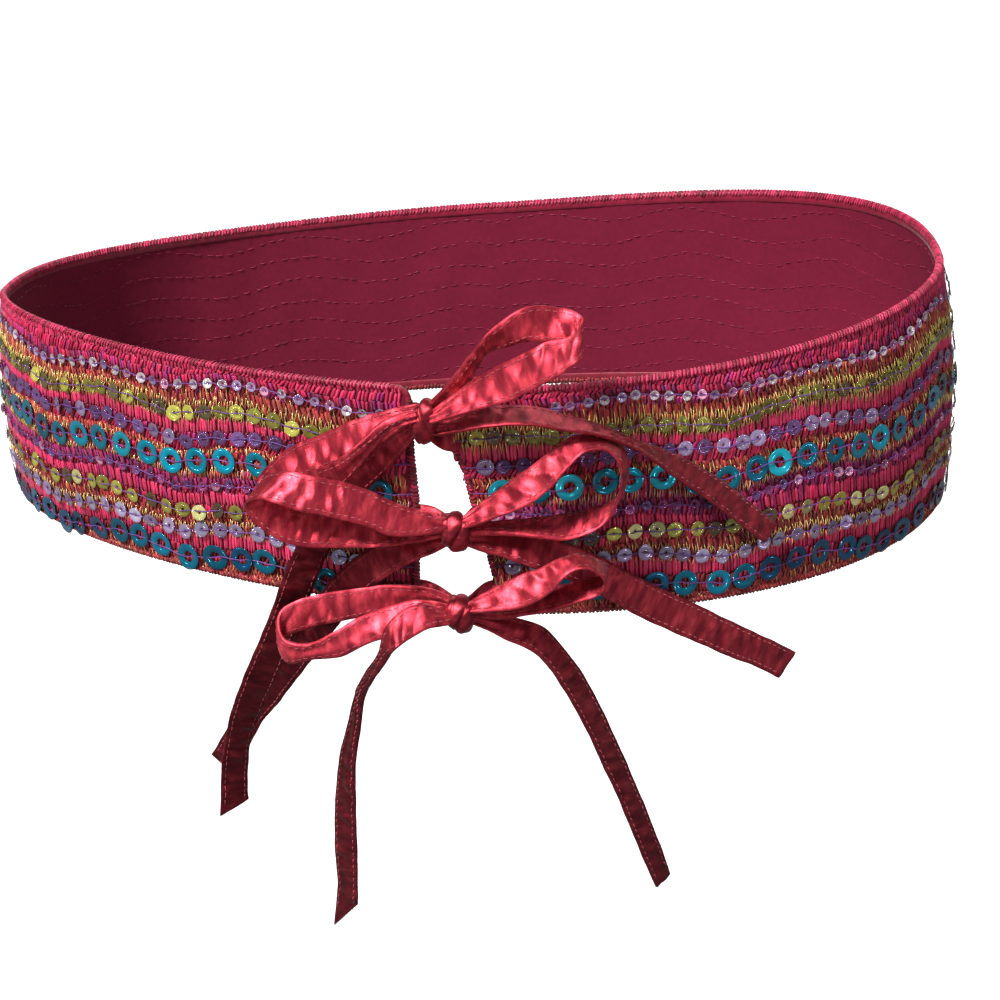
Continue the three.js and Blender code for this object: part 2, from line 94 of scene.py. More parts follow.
def make_camera():
    back = direction(CAMERA["azimuth"], CAMERA["elevation"])
    roll = math.radians(CAMERA["roll"])
    right = (-back).cross(Vector((0, 0, 1))).normalized()
    up = right.cross(-back)
    across = right * math.cos(roll) + up * math.sin(roll)
    upward = up * math.cos(roll) - right * math.sin(roll)
    camera = bpy.data.objects.new("camera", bpy.data.cameras.new("camera"))
    camera.data.sensor_width = SENSOR
    camera.data.lens = CAMERA["focal_px"] / IMAGE_PX * SENSOR
    camera.data.clip_start = NEAREST_SEEN
    camera.data.clip_end = FARTHEST_SEEN
    turn = Matrix((across, upward, back)).transposed().to_4x4()
    camera.matrix_world = Matrix.Translation((AIM + back * CAMERA["distance"]) * MM) @ turn
    bpy.context.scene.collection.objects.link(camera)
    bpy.context.scene.camera = camera


def make_lamp(name, kind, way, distance, **settings):
    """A lamp that looks at the belt from a distance in metres."""
    lamp = bpy.data.lights.new(name, kind)
    for key, value in settings.items():
        setattr(lamp, key, value)
    holder = bpy.data.objects.new(name, lamp)
    holder.location = way * distance
    holder.rotation_euler = (-way).to_track_quat("-Z", "Y").to_euler()
    bpy.context.scene.collection.objects.link(holder)


def make_lights():
    for sun in table_rows(SUN_COLUMNS, SUNS):
        make_lamp(
            sun["name"], "SUN", direction(sun["azimuth"], sun["elevation"]), SUN_DISTANCE,
            angle=math.radians(sun["spread"]), energy=sun["energy"], color=sun["colour"],
        )
    for i, (azimuth, elevation, power) in enumerate(GLINTS):
        way = direction(azimuth, elevation)
        make_lamp(
            f"glint_{i}", "AREA", way, GLINT_DISTANCE, shape="DISK", size=GLINT_SIZE, energy=power,
        )
    world = bpy.data.worlds.new("studio")
    world.use_nodes = True
    background = world.node_tree.nodes["Background"]
    background.inputs["Color"].default_value = (1, 1, 1, 1)
    background.inputs["Strength"].default_value = WORLD_STRENGTH
    bpy.context.scene.world = world
    bpy.context.scene.view_settings.view_transform = "Standard"


# Meshes
def triangles(quads):
    return np.concatenate([quads[:, [0, 1, 2]], quads[:, [0, 2, 3]]])


def wall_faces(grid, closed=False):
    """Triangles of tubes. The grid numbers the points by tube, ring and side."""
    a, c = (grid, np.roll(grid, -1, axis=1)) if closed else (grid[:, :-1], grid[:, 1:])
    b, d = np.roll(a, -1, axis=2), np.roll(c, -1, axis=2)
    return triangles(np.stack([a, b, d, c], -1).reshape(-1, 4))


def strand_faces(total, stations, sides):
    """Triangles of many closed strands, whose points go strand by strand, ring by ring."""
    grid = np.arange(total).reshape(-1, stations, sides)
    faces = [wall_faces(grid)]
    for ring, order in ((grid[:, 0], -1), (grid[:, -1], 1)):
        ring = ring[:, ::order]
        for i in range(1, sides - 1):
            faces.append(np.stack([ring[:, 0], ring[:, i], ring[:, i + 1]], -1))
    return np.concatenate(faces)


def facing_out(points, faces):
    """The same triangles, turned so that the closed mesh has a positive volume."""
    a, b, c = (points[faces[:, i]] for i in range(3))
    volume = np.einsum("ij,ij->i", a, np.cross(b, c)).sum()
    return faces if volume > 0 else faces[:, ::-1]


def make_mesh(name, points, faces, material, tints=None, uvs=None, smooth=True):
    """An object of triangles, from points in millimetres. tints colours each point."""
    points = np.asarray(points, float).reshape(-1, 3)
    faces = facing_out(points, np.asarray(faces).reshape(-1, 3))
    mesh = bpy.data.meshes.new(name)
    mesh.vertices.add(len(points))
    mesh.vertices.foreach_set("co", (points * MM).ravel())
    mesh.loops.add(faces.size)
    mesh.loops.foreach_set("vertex_index", faces.ravel())
    mesh.polygons.add(len(faces))
    mesh.polygons.foreach_set("loop_start", np.arange(0, faces.size, 3))
    mesh.polygons.foreach_set("use_smooth", np.full(len(faces), smooth))
    mesh.update(calc_edges=True)
    if tints is not None:
        tint = mesh.color_attributes.new("tint", "FLOAT_COLOR", "POINT")
        rgba = np.concatenate([np.asarray(tints).reshape(-1, 3), np.ones((len(points), 1))], 1)
        tint.data.foreach_set("color", rgba.ravel())
    if uvs is not None:
        layer = mesh.uv_layers.new(name="cloth")
        layer.data.foreach_set("uv", np.asarray(uvs).reshape(-1, 2)[faces.ravel()].ravel())
    mesh.validate()
    piece = bpy.data.objects.new(name, mesh)
    bpy.context.scene.collection.objects.link(piece)
    mesh.materials.append(material)
    return piece


def make_strands(name, points, stations, sides, material, tints, uvs=None):
    points = np.asarray(points).reshape(-1, 3)
    return make_mesh(name, points, strand_faces(len(points), stations, sides), material, tints, uvs)


# The three sides of a stitch: how far across and how far up
RIDGE = ((-0.5, 0.0), (0.0, 1.0), (0.5, 0.0))
RIDGE_SIDES = len(RIDGE)


def make_silk_strands(name, pieces, stations, colour, shades):
    """Silk strands of one colour, with a shade drawn for each."""
    points = np.concatenate(pieces)
    each = stations * RIDGE_SIDES
    shade = rng.uniform(*shades, (len(points) // each, 1))
    tints = np.repeat(linear(*colour)[None, :] * shade, each, axis=0)
    return make_strands(name, points, stations, RIDGE_SIDES, silk, tints)


def palette(colours):
    return np.array([linear(*c) for c in colours])


# The band's form: an oval ring, bulging between its edges, as in the frame's own solid
HALF_WIDTH, HALF_DEPTH = 165.0, 112.0
FRONT_POWER, BACK_POWER = 1.8, 2.4
BAND_HEIGHT, TALLER_ON_LEFT, TALLER_AT_SIDES = 75.3, 5.3, 2.2
TOP_LEAN, BOTTOM_LEAN, LEFT_LEAN = 10.7, -9.3, 2.05
BACK_RISE, SIDE_RISE, FRONT_DROP, TWIST_DROP = 0.15, 1.2, 1.65, 4.6
CORNER_RADIUS = 5.0
WAVE_OUT, WAVE_SUNK = 0.35, 0.6
LONG_RIPPLE, SHORT_RIPPLE = 7.3, 3.9
FACE_ROUNDS, FACE_STEP = 14, 0.001


def signed_power(value, exponent):
    return np.sign(value) * np.abs(value) ** exponent


def band_profile(angle, down):
    side = np.sin(angle)
    lean0 = np.radians(TOP_LEAN * side ** 2 + LEFT_LEAN * side)
    lean1 = np.radians(BOTTOM_LEAN * side ** 2 + LEFT_LEAN * side)
    height = BAND_HEIGHT + TALLER_ON_LEFT * side - TALLER_AT_SIDES * np.cos(2 * angle)
    run = down - 0.5
    outward = drop = 0
    for share, weight in ((0.5, 1 / 6), (0.5 + run / 2, 4 / 6), (down, 1 / 6)):
        lean = lean0 * (1 - share) + lean1 * share
        outward = outward + weight * np.sin(lean) * run * height
        drop = drop + weight * np.cos(lean) * run * height
    return outward, drop


def band_point(angle, down):
    angle, down = np.broadcast_arrays(np.asarray(angle, float), np.asarray(down, float))
    exponent = 2 / np.where(np.cos(angle) > 0, FRONT_POWER, BACK_POWER)
    outward, drop = band_profile(angle, down)
    x = (HALF_WIDTH + outward) * signed_power(np.sin(angle), exponent)
    y = -(HALF_DEPTH + outward) * signed_power(np.cos(angle), exponent)
    rise = math.tan(math.radians(BACK_RISE)) * y + math.tan(math.radians(SIDE_RISE)) * x
    wave = -FRONT_DROP * np.cos(2 * angle) - TWIST_DROP * np.sin(2 * angle)
    return np.stack([x, y, rise + wave - drop], -1)


RING_ANGLES = np.linspace(0, TURN, 2881)
RING_STEPS = np.linalg.norm(np.diff(band_point(RING_ANGLES, 0.5), axis=0), axis=1)
RING_LENGTHS = np.concatenate([[0], np.cumsum(RING_STEPS)])
RING = RING_LENGTHS[-1]


def angle_at(length):
    return np.interp(np.mod(length, RING), RING_LENGTHS, RING_ANGLES)


def cloth_wave(length, down):
    """Soft vertical ripples of the band, fading out at its edges. Each length in
    millimetres is divided by a wave's length over a full turn."""
    drift = 2.1 * np.sin(length / 31)
    ripple = np.sin(length / LONG_RIPPLE + drift + 1.3 * down) * np.sin(length / 47 + 1)
    ripple = ripple + 0.6 * np.sin(length / SHORT_RIPPLE - 2.4 * down) * np.sin(length / 23)
    return WAVE_OUT * (ripple - WAVE_SUNK) * np.sin(np.pi * np.clip(down, 0, 1))


def on_band(length, down, out):
    """Points at a length round the ring, a share of the height and a distance outwards."""
    length, down, out = np.broadcast_arrays(*(np.asarray(v, float) for v in (length, down, out)))
    out = out + cloth_wave(length, down)
    middle = band_point(angle_at(length), down)
    along = band_point(angle_at(length + 1), down) - band_point(angle_at(length - 1), down)
    upward = band_point(angle_at(length), down - 0.01) - band_point(angle_at(length), down + 0.01)
    return middle + unit(np.cross(along, upward)) * out[..., None]


def face_y(x, z):
    """The band's face in front, at a given x and z."""
    angle, down = 0.0, 0.5
    for _ in range(FACE_ROUNDS):
        reach = HALF_WIDTH + band_profile(angle, down)[0]
        angle = math.asin(np.clip(signed_power(x / reach, FRONT_POWER / 2), -1, 1))
        here = band_point(angle, down)[2]
        slope = (band_point(angle, down + FACE_STEP)[2] - here) / FACE_STEP
        down = float(np.clip(down - (here - z) / slope, 0, 1))
    return band_point(angle, down)[1]


# Where the front edges lie: x by the share of the height, as in the solid
RIGHT_PANEL_EDGE = {"down": (0, 0.27, 0.37, 0.49, 0.73, 1), "x": (1.8, 2.0, 5.4, 7.2, 12.0, 16.6)}
LEFT_PANEL_EDGE = {"down": (0, 0.3, 0.5, 1), "x": (-10.3, -10.1, -9.0, -9.8)}


def edge_length(edge, down):
    x = np.interp(down, edge["down"], edge["x"])
    angle = np.arcsin(signed_power(x / HALF_WIDTH, FRONT_POWER / 2))
    return np.interp(np.mod(angle, TURN), RING_ANGLES, RING_LENGTHS) - np.where(x < 0, RING, 0)


def panel_start(down):
    return edge_length(RIGHT_PANEL_EDGE, down)


def panel_end(down):
    return RING + edge_length(LEFT_PANEL_EDGE, down)


def corner_down(from_edge):
    inside = np.maximum(CORNER_RADIUS - from_edge, 0)
    return (CORNER_RADIUS - np.sqrt(CORNER_RADIUS ** 2 - inside ** 2)) / BAND_HEIGHT


# Materials
class Shader:
    """A material, with short ways to add nodes and to fill their inputs."""

    def __init__(self, name):
        self.material = bpy.data.materials.new(name)
        self.material.use_nodes = True
        self.tree = self.material.node_tree
        self.surface = self.tree.nodes["Principled BSDF"]

    def feed(self, node, inputs):
        """Where an input is given a socket it is linked, and otherwise it is a constant."""
        for key, value in inputs.items():
            if isinstance(value, bpy.types.NodeSocket):
                self.tree.links.new(value, node.inputs[key])
            else:
                node.inputs[key].default_value = value

    def add(self, kind, output, inputs=None, **settings):
        """Adds a node and gives one of its outputs."""
        node = self.tree.nodes.new("ShaderNode" + kind)
        for key, value in settings.items():
            setattr(node, key, value)
        self.feed(node, inputs or {})
        return node.outputs[output]

    def ramp(self, factor, first, last, *between):
        """A ramp of colours. Each stop is a position and a colour."""
        node = self.tree.nodes.new("ShaderNodeValToRGB")
        elements = node.color_ramp.elements
        for i, (position, colour) in enumerate((first, last)):
            elements[i].position = position
            elements[i].color = (*linear(*colour), 1)
        for position, colour in between:
            elements.new(position).color = (*linear(*colour), 1)
        self.feed(node, {"Fac": factor})
        return node.outputs["Color"]

    def raise_relief(self, height, strength, distance):
        inputs = {"Height": height, "Strength": strength, "Distance": distance}
        self.feed(self.surface, {"Normal": self.add("Bump", "Normal", inputs)})


def tinted_material(name, surface, bump=0.0, speckle=0.25, floss=False):
    """A surface that takes its colour from the tint of each point, a little uneven."""
    shader = Shader(name)
    place = shader.add("TexCoord", "Object")
    noise = shader.add("TexNoise", "Fac", {"Vector": place, "Scale": 900.0, "Detail": 2.0})
    limits = {"Value": noise, "To Min": 1 - speckle, "To Max": 1 + speckle}
    spread = shader.add("MapRange", "Result", limits)
    tint = shader.add("Attribute", "Color", attribute_name="tint")
    colour = shader.add("VectorMath", "Vector", {0: tint, "Scale": spread}, operation="SCALE")
    constants = {"Base Color": colour, "Coat Roughness": 0.08, "Sheen Roughness": 0.4}
    shader.feed(shader.surface, constants | surface)
    height = noise
    if floss:
        run = shader.add("UVMap", "UV", uv_map="cloth")
        lines = {"Vector": run, "Scale": 1.1, "Distortion": 1.2, "Detail": 1.0}
        height = shader.add("TexWave", "Fac", lines, bands_direction="Y")
    if bump:
        shader.raise_relief(height, bump, 0.0002)
    return shader.material


def base_cloth_material():
    """Plain-woven crimson cotton, seen between the stitches and all over the inside."""
    shader = Shader("base_cloth")
    coords = shader.add("UVMap", "UV", uv_map="cloth")
    thread = {"Vector": coords, "Scale": 0.9, "Distortion": 0.6, "Detail": 1.0}
    warp, weft = (shader.add("TexWave", "Fac", thread, bands_direction=axis) for axis in "XY")
    weave = shader.add("Math", "Value", {0: warp, 1: weft}, operation="MULTIPLY")
    cloud = {"Vector": coords, "Scale": 0.5, "Detail": 6.0, "Roughness": 0.7}
    noise = shader.add("TexNoise", "Fac", cloud)
    colour = shader.ramp(noise, (0.25, (104, 14, 42)), (0.8, (128, 20, 52)))
    constants = {"Base Color": colour, "Roughness": 0.85, "Specular IOR Level": 0.25}
    shader.feed(shader.surface, constants)
    shader.raise_relief(weave, 0.5, 0.0003)
    return shader.material


def satin_material(name, dark, middle, light):
    """Puckered satin: uneven bands of painted gloss across the tie, a ramp of lighter and darker colour, and
    fine warp lines along it.
    """
    shader = Shader(name)
    coords = shader.add("UVMap", "UV", uv_map="cloth")
    bands = shader.add("Mapping", "Vector", {"Vector": coords, "Scale": (0.35, 0.09, 1)})
    cloud = {"Vector": bands, "Scale": 1.0, "Detail": 4.0, "Roughness": 0.6}
    noise = shader.add("TexNoise", "Fac", cloud)
    painted_gloss = shader.ramp(noise, (0.3, dark), (0.72, light), (0.5, middle))
    # The tint of each point is painted light and shade on the satin: brighter on loops, darker down hanging
    # tails.
    tint = shader.add("Attribute", "Color", attribute_name="tint")
    colour = shader.add("VectorMath", "Vector", {0: painted_gloss, 1: tint}, operation="MULTIPLY")
    warp = shader.add("Mapping", "Vector", {"Vector": coords, "Scale": (0.5, 7.0, 1)})
    lines = shader.add("TexNoise", "Fac", {"Vector": warp, "Scale": 1.0, "Detail": 3.0})
    shader.raise_relief(lines, 0.35, 0.0002)
    tangent = shader.add("Tangent", "Tangent", direction_type="UV_MAP", uv_map="cloth")
    shader.feed(shader.surface, {
        "Base Color": colour, "Tangent": tangent, "Metallic": 0.82, "Roughness": 0.42,
        "Anisotropic": 0.7, "Anisotropic Rotation": 0.25, "Specular IOR Level": 0.35,
        "Sheen Weight": 0.05, "Sheen Roughness": 0.4,
    })
    return shader.material


def sequin_material(name, roughness, alpha, film):
    """Thin coloured plastic with a pearly film."""
    return tinted_material(name, {
        "Roughness": roughness, "Metallic": 0.35, "Specular IOR Level": 0.8,
        "Coat Weight": 0.6, "Alpha": alpha, "Thin Film Thickness": film,
    }, speckle=0.12)


silk = tinted_material("silk_thread", {"Roughness": 0.42, "Sheen Weight": 0.1}, bump=0.5)
floss = tinted_material("silk_floss", {"Roughness": 0.4, "Sheen Weight": 0.1}, bump=0.7, floss=True)
gilt = {"Roughness": 0.3, "Metallic": 0.3}
metal_thread = tinted_material("metal_thread", gilt, bump=0.2, speckle=0.4)
base_cloth = base_cloth_material()
tie_satin = satin_material("tie_satin", (108, 26, 39), (146, 39, 52), (188, 63, 74))
disc_plastic = sequin_material("disc_plastic", 0.14, 0.62, 320.0)
ring_plastic = sequin_material("ring_plastic", 0.16, 0.82, 380.0)

BAND_BODY = "root"


def finish_piece(piece):
    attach(piece, BAND_BODY)


# The base cloth: a thin shell, a little under the solid's face so that the stitches lie on it
CLOTH_SUNK = -1.0
CLOTH_INSIDE = -2.1
CLOTH_STEP = 3.0
CLOTH_ROWS = 26
NEAR_FRONT_EDGE = np.array([0, 0.3, 0.8, 1.5, 2.3, 3.2, 4.2])
CLOTH_RIPPLE = 0.16
INSIDE_UV = 200.0


def make_base_cloth():
    columns = int(RING / CLOTH_STEP)
    near = NEAR_FRONT_EDGE
    share = np.concatenate([0 * near, np.arange(1, columns) / columns, 0 * near + 1])[:, None]
    from_edge = np.concatenate([near, np.full(columns - 1, CORNER_RADIUS), near[::-1]])[:, None]
    lift = corner_down(from_edge)
    down = lift + (1 - lift) * np.linspace(0, 1, CLOTH_ROWS)[None, :]
    start = panel_start(down) + from_edge
    end = panel_end(down) - from_edge
    length = start + (end - start) * share
    ripple = np.sin(length / 5.1 + 3 * down) * np.sin(down * 21) * np.sin(length / 17)
    outer = on_band(length, down, CLOTH_SUNK + CLOTH_RIPPLE * ripple)
    inner = on_band(length, down, CLOTH_INSIDE + CLOTH_RIPPLE * ripple)
    points = np.concatenate([outer, inner[:, ::-1]], 1)
    sheet = np.stack([length, BAND_HEIGHT * down], -1)
    uvs = np.concatenate([sheet, sheet[:, ::-1] + INSIDE_UV], 1)
    grid = np.arange(points[..., 0].size).reshape(1, *points.shape[:2])
    faces = [wall_faces(grid)]
    for ring, order in ((grid[0, 0], -1), (grid[0, -1], 1)):
        outer_side, inner_side = ring[:CLOTH_ROWS], ring[CLOTH_ROWS:][::-1]
        quads = [outer_side[:-1], outer_side[1:], inner_side[1:], inner_side[:-1]][::order]
        faces.append(triangles(np.stack(quads, -1)))
    return make_mesh("band_cloth", points, np.concatenate(faces), base_cloth, uvs=uvs)


# The sequin rows: the share of the height at which each runs. All follow one wave.
ROW_DOWN = (0, 0.105, 0.225, 0.34, 0.459, 0.57, 0.684, 0.79, 0.912, 1)
LAST_LEVEL = len(ROW_DOWN) - 1
WAVE = {
    "length": (-165, -150, -135, -120, -105, -90, -75, -62, -30, 0,
               45, 60, 75, 90, 105, 120, 135, 150, 165, 180, 195),
    "down": (0.015, 0.044, 0.019, -0.012, 0.009, 0.026, -0.015, -0.03, 0.02, 0.0,
             -0.02, -0.036, -0.012, 0.01, -0.012, -0.02, 0.004, 0.036, 0.03, 0.0, -0.02),
}
WAVE_PERIOD = 62.0
WAVE_HEIGHT = 0.028
ROW_LIMIT = 0.75
WAVE_CREST = 150.0
FRONT_REACH, FRONT_FADE = 200.0, 25.0


def row_down(level, length):
    """The share of the height at a level, where whole levels are the rows of sequins."""
    length = np.asarray(length, float)
    turned = np.where(length > RING / 2, length - RING, length)
    front = np.interp(turned, WAVE["length"], WAVE["down"])
    phase = (np.abs(turned) - WAVE_CREST) / WAVE_PERIOD * TURN
    behind = WAVE_HEIGHT * np.cos(phase) + 0.006 * np.sin(turned / 23)
    in_front = np.clip((FRONT_REACH - np.abs(turned)) / FRONT_FADE, 0, 1)
    wave = front * in_front + behind * (1 - in_front)
    own = 0.007 * np.sin(turned / 19 + 2.1 * np.round(level)) + 0.004 * np.sin(turned / 7.3 + 4 * level)
    held = np.clip(np.minimum(level, LAST_LEVEL - level) / ROW_LIMIT, 0, 1)
    return np.interp(level, np.arange(LAST_LEVEL + 1), ROW_DOWN) + (wave + own) * held


# Bands of stitches between the rows, from one level to another. slant is how far a stitch's
# lower end lies along the band, in millimetres, and high is how far it stands up.
CRIMSON, PINK, MAGENTA = (212, 32, 86), (232, 54, 106), (184, 36, 118)
PURPLE, RUST, DARK_RUST = (136, 36, 100), (186, 54, 54), (146, 32, 42)
WINE, COPPER, GOLD, OLIVE_GOLD = (138, 18, 60), (186, 78, 62), (246, 214, 136), (222, 214, 112)
DEEP_CRIMSON, VIOLET = (172, 24, 68), (96, 54, 128)
STITCH_COLUMNS = ("start", "end", "pitch", "slant", "high", "colours")
SILK_BANDS = (
    (0.05, 0.36, 1.25, 0.9, 0.45, (CRIMSON, PINK, CRIMSON)),
    (0.30, 0.64, 1.30, -0.9, 0.50, (CRIMSON, PINK, CRIMSON, MAGENTA)),
    (0.58, 0.95, 1.30, 0.8, 0.45, (CRIMSON, MAGENTA, CRIMSON, PURPLE, WINE)),
    (1.05, 1.36, 1.35, -0.8, 0.45, (RUST, MAGENTA, DARK_RUST, RUST)),
    (1.30, 1.68, 1.35, 0.9, 0.45, (RUST, COPPER, RUST, DARK_RUST)),
    (1.62, 1.98, 1.50, 0.3, 0.35, (DARK_RUST, RUST, COPPER)),
    (2.02, 2.36, 1.50, 0.2, 0.35, (DARK_RUST, CRIMSON, WINE)),
    (2.30, 2.84, 1.12, 0.3, 0.60, (PINK, PINK, CRIMSON)),
    (2.80, 3.14, 1.60, -0.4, 0.35, (WINE, MAGENTA, CRIMSON)),
    (3.10, 3.48, 1.25, -1.1, 0.50, (CRIMSON, PINK, DARK_RUST)),
    (3.44, 3.76, 1.35, 0.9, 0.45, (RUST, COPPER, RUST)),
    (3.72, 4.04, 1.40, -0.6, 0.35, (RUST, CRIMSON, DARK_RUST)),
    (4.00, 4.44, 1.40, 0.6, 0.35, (COPPER, CRIMSON, RUST)),
    (4.42, 4.72, 1.25, -0.9, 0.50, (MAGENTA, CRIMSON, MAGENTA)),
    (4.66, 5.02, 1.45, 0.9, 0.45, (MAGENTA, PURPLE, MAGENTA, CRIMSON)),
    (5.00, 5.38, 1.45, -0.8, 0.45, (MAGENTA, CRIMSON, PURPLE)),
    (5.32, 5.84, 1.15, 0.6, 0.55, (PINK, CRIMSON, PINK, MAGENTA)),
    (5.80, 6.12, 1.60, 0.3, 0.35, (DARK_RUST, CRIMSON)),
    (6.08, 6.44, 1.30, -0.9, 0.50, (RUST, CRIMSON, RUST, COPPER)),
    (6.40, 6.76, 1.35, 0.8, 0.45, (RUST, DARK_RUST, COPPER)),
    (6.74, 7.12, 1.50, 0.4, 0.35, (DARK_RUST, COPPER, WINE)),
    (7.10, 7.76, 1.12, 0.3, 0.60, (PINK, CRIMSON, PINK)),
    (7.72, 8.10, 1.50, -0.5, 0.35, (DARK_RUST, CRIMSON)),
    (8.06, 8.46, 1.40, 0.5, 0.35, (RUST, CRIMSON, DARK_RUST)),
    (8.44, 8.78, 1.30, -0.8, 0.45, (RUST, COPPER, DARK_RUST)),
    (8.70, 8.97, 1.25, 0.7, 0.45, (RUST, DARK_RUST, CRIMSON)),
)
SPIKE_BANDS = (
    (1.54, 1.95, 0.95, 0.55, 1.25, (OLIVE_GOLD, GOLD, OLIVE_GOLD)),
    (2.05, 2.50, 0.95, 0.55, 1.25, (OLIVE_GOLD, GOLD, OLIVE_GOLD)),
    (1.80, 2.22, 2.60, 0.30, 2.00, (OLIVE_GOLD, GOLD)),
    (3.58, 3.92, 1.70, 0.70, 1.00, (GOLD, COPPER)),
    (4.30, 4.76, 0.90, 0.50, 1.20, (OLIVE_GOLD, GOLD, COPPER)),
    (6.62, 6.96, 1.00, 0.60, 1.20, (GOLD, OLIVE_GOLD)),
    (7.05, 7.34, 1.20, 0.60, 1.20, (GOLD, OLIVE_GOLD)),
)
FLECK_BANDS = (
    (1.10, 1.58, 1.9, 0.8, 0.85, (GOLD, COPPER, COPPER)),
    (3.46, 3.80, 1.5, 0.8, 0.80, (GOLD, COPPER)),
    (6.16, 6.60, 2.0, 0.8, 0.80, (GOLD, COPPER)),
    (8.40, 8.80, 1.8, 0.8, 0.80, (GOLD, COPPER)),
    (8.72, 8.96, 2.2, 0.8, 0.75, (GOLD, COPPER)),
)
LONG_SPIKE_BANDS = (
    (1.50, 2.62, 1.15, 0.80, 1.45, (OLIVE_GOLD, GOLD, OLIVE_GOLD)),
    (7.25, 8.30, 1.15, 0.80, 1.45, (OLIVE_GOLD, GOLD)),
)
LONG_SPIKE_REACH = 13.0
STITCH_WIDTH = 1.3
METAL_WIDTH = 0.32
SILK_PATH = {"share": (0.0, 0.16, 0.84, 1.0), "taper": (0.5, 1.0, 1.0, 0.5)}
METAL_PATH = {"share": (0.0, 0.5, 1.0), "taper": (0.5, 1.0, 0.5)}
EDGE_MARGIN = 1.2
STITCH_SUNK, STITCH_ARCH = 0.05, 0.8
RIDGE_LEAST, RIDGE_SHARE = 0.08, 0.3
# Where the three sides of a stitch lie in its lines of floss
RIDGE_UVS = (0.0, 0.6, 1.2)


def row_ends(level, margin, end_level=None):
    """Where a row starts and ends along the ring, a margin in from the front edges."""
    end_level = level if end_level is None else end_level
    start = float(panel_start(row_down(level, 0))) + margin
    return start, float(panel_end(row_down(end_level, 0))) - margin


def stitch_strands(bands, width, path, zigzag=False, uneven=0.05, reach=RING):
    """Each stitch is a closed strand of three sides, arched over the cloth."""
    all_points, all_tints, all_uvs = [], [], []
    share = np.array(path["share"])[None, :]
    stations = share.size
    for row in table_rows(STITCH_COLUMNS, bands):
        start, end = row_ends(row["start"], EDGE_MARGIN, row["end"])
        length = spaced(start, min(end, start + reach), row["pitch"], 0.3)
        count = len(length)
        lean = np.where(np.arange(count) % 2 == 0, 1, -1) if zigzag else 1
        sway = row["slant"] * lean * (1 + 0.4 * np.sin(length / 13)) + rng.normal(0, 0.2, count)
        down0 = row_down(row["start"] + rng.uniform(-uneven, uneven, count), length)
        down1 = row_down(row["end"] + rng.uniform(-uneven, uneven, count), length)
        down = down0[:, None] + (down1 - down0)[:, None] * share
        along = length[:, None] + sway[:, None] * (share - 0.5)
        arch = np.sin(np.pi * np.clip(share, 0.06, 0.94)) ** 0.5 * row["high"]
        arch = arch * rng.uniform(0.7, 1.2, count)[:, None]
        wide = width * rng.uniform(0.75, 1.1, count)[:, None] * np.array(path["taper"])[None, :]
        rings = []
        for side, lift in RIDGE:
            ridge = lift * (RIDGE_LEAST + RIDGE_SHARE * wide)
            out = CLOTH_SUNK - STITCH_SUNK + arch * STITCH_ARCH + ridge
            rings.append(on_band(along + side * wide, down, out))
        all_points.append(np.stack(rings, 2).reshape(-1, 3))
        colours = palette(row["colours"])
        patch = np.abs(np.sin(length / 31 + row["start"] * 5) + rng.normal(0, 0.55, count))
        pick = np.minimum((patch * len(colours) / 2).astype(int), len(colours) - 1)
        shade = rng.uniform(0.68, 1.22, count)[:, None]
        all_tints.append(np.repeat(colours[pick] * shade, stations * RIDGE_SIDES, axis=0))
        run = rng.uniform(0, 50, count)[:, None, None] + share[:, :, None] * 4
        uvs = np.broadcast_arrays(run, np.array(RIDGE_UVS)[None, None, :])
        all_uvs.append(np.stack(uvs, -1).reshape(-1, 2))
    return {
        "points": np.concatenate(all_points), "stations": stations, "sides": RIDGE_SIDES,
        "tints": np.concatenate(all_tints), "uvs": np.concatenate(all_uvs),
    }


# Sequins: a thin ring of plastic, cupped a little. The columns are the row's level, the
# sequin's width, its hole's width, the pitch, the depth of its cup and its colours.
CLEAR, PALE_PINK, OLIVE, LIME = (232, 222, 232), (222, 160, 192), (136, 134, 58), (190, 190, 88)
GREY_OLIVE, PALE_LIME, ORCHID = (104, 100, 70), (236, 236, 160), (186, 96, 156)
LILAC, PALE_LILAC, LAVENDER, TEAL = (116, 92, 144), (176, 160, 200), (184, 180, 214), (10, 108, 134)
TURQUOISE, BRIGHT_TURQUOISE, DEEP_TEAL = (8, 136, 162), (34, 184, 208), (16, 84, 118)
SEQUIN_COLUMNS = ("level", "wide", "hole", "pitch", "cup", "colours")
# The share of sequins brightened as painted glints.
PAINTED_GLINT_SHARE = 0.14
MIDDLE_SEQUIN = 5.2
DISC_ROWS = (
    (1, 3.3, 0.8, 5.2, 0.55, (CLEAR, PALE_LILAC, CLEAR, PALE_PINK)),
    (2, 5.2, 0.8, 6.0, 0.3, (OLIVE, OLIVE, LIME, GREY_OLIVE)),
    (3, 5.2, 0.8, 6.4, 0.3, (LILAC, LILAC, PALE_LILAC)),
    (5, 3.3, 0.8, 5.3, 0.55, (PALE_PINK, ORCHID, LILAC, ORCHID)),
    (6, 5.2, 0.8, 6.7, 0.3, (LIME, GREY_OLIVE, LIME, PALE_LIME)),
    (7, 5.2, 0.8, 6.8, 0.3, (LAVENDER, PALE_LILAC, LAVENDER)),
)
RING_ROWS = (
    (4, 8.5, 3.4, 10.2, 0.3, (TURQUOISE, BRIGHT_TURQUOISE, TURQUOISE, TEAL)),
    (8, 8.5, 3.4, 10.0, 0.3, (TEAL, DEEP_TEAL, TEAL)),
)
SEQUIN_OUT = 0.12
SEQUIN_THICK = 0.14
BEVEL = 0.09
SEQUIN_TILT = 0.13
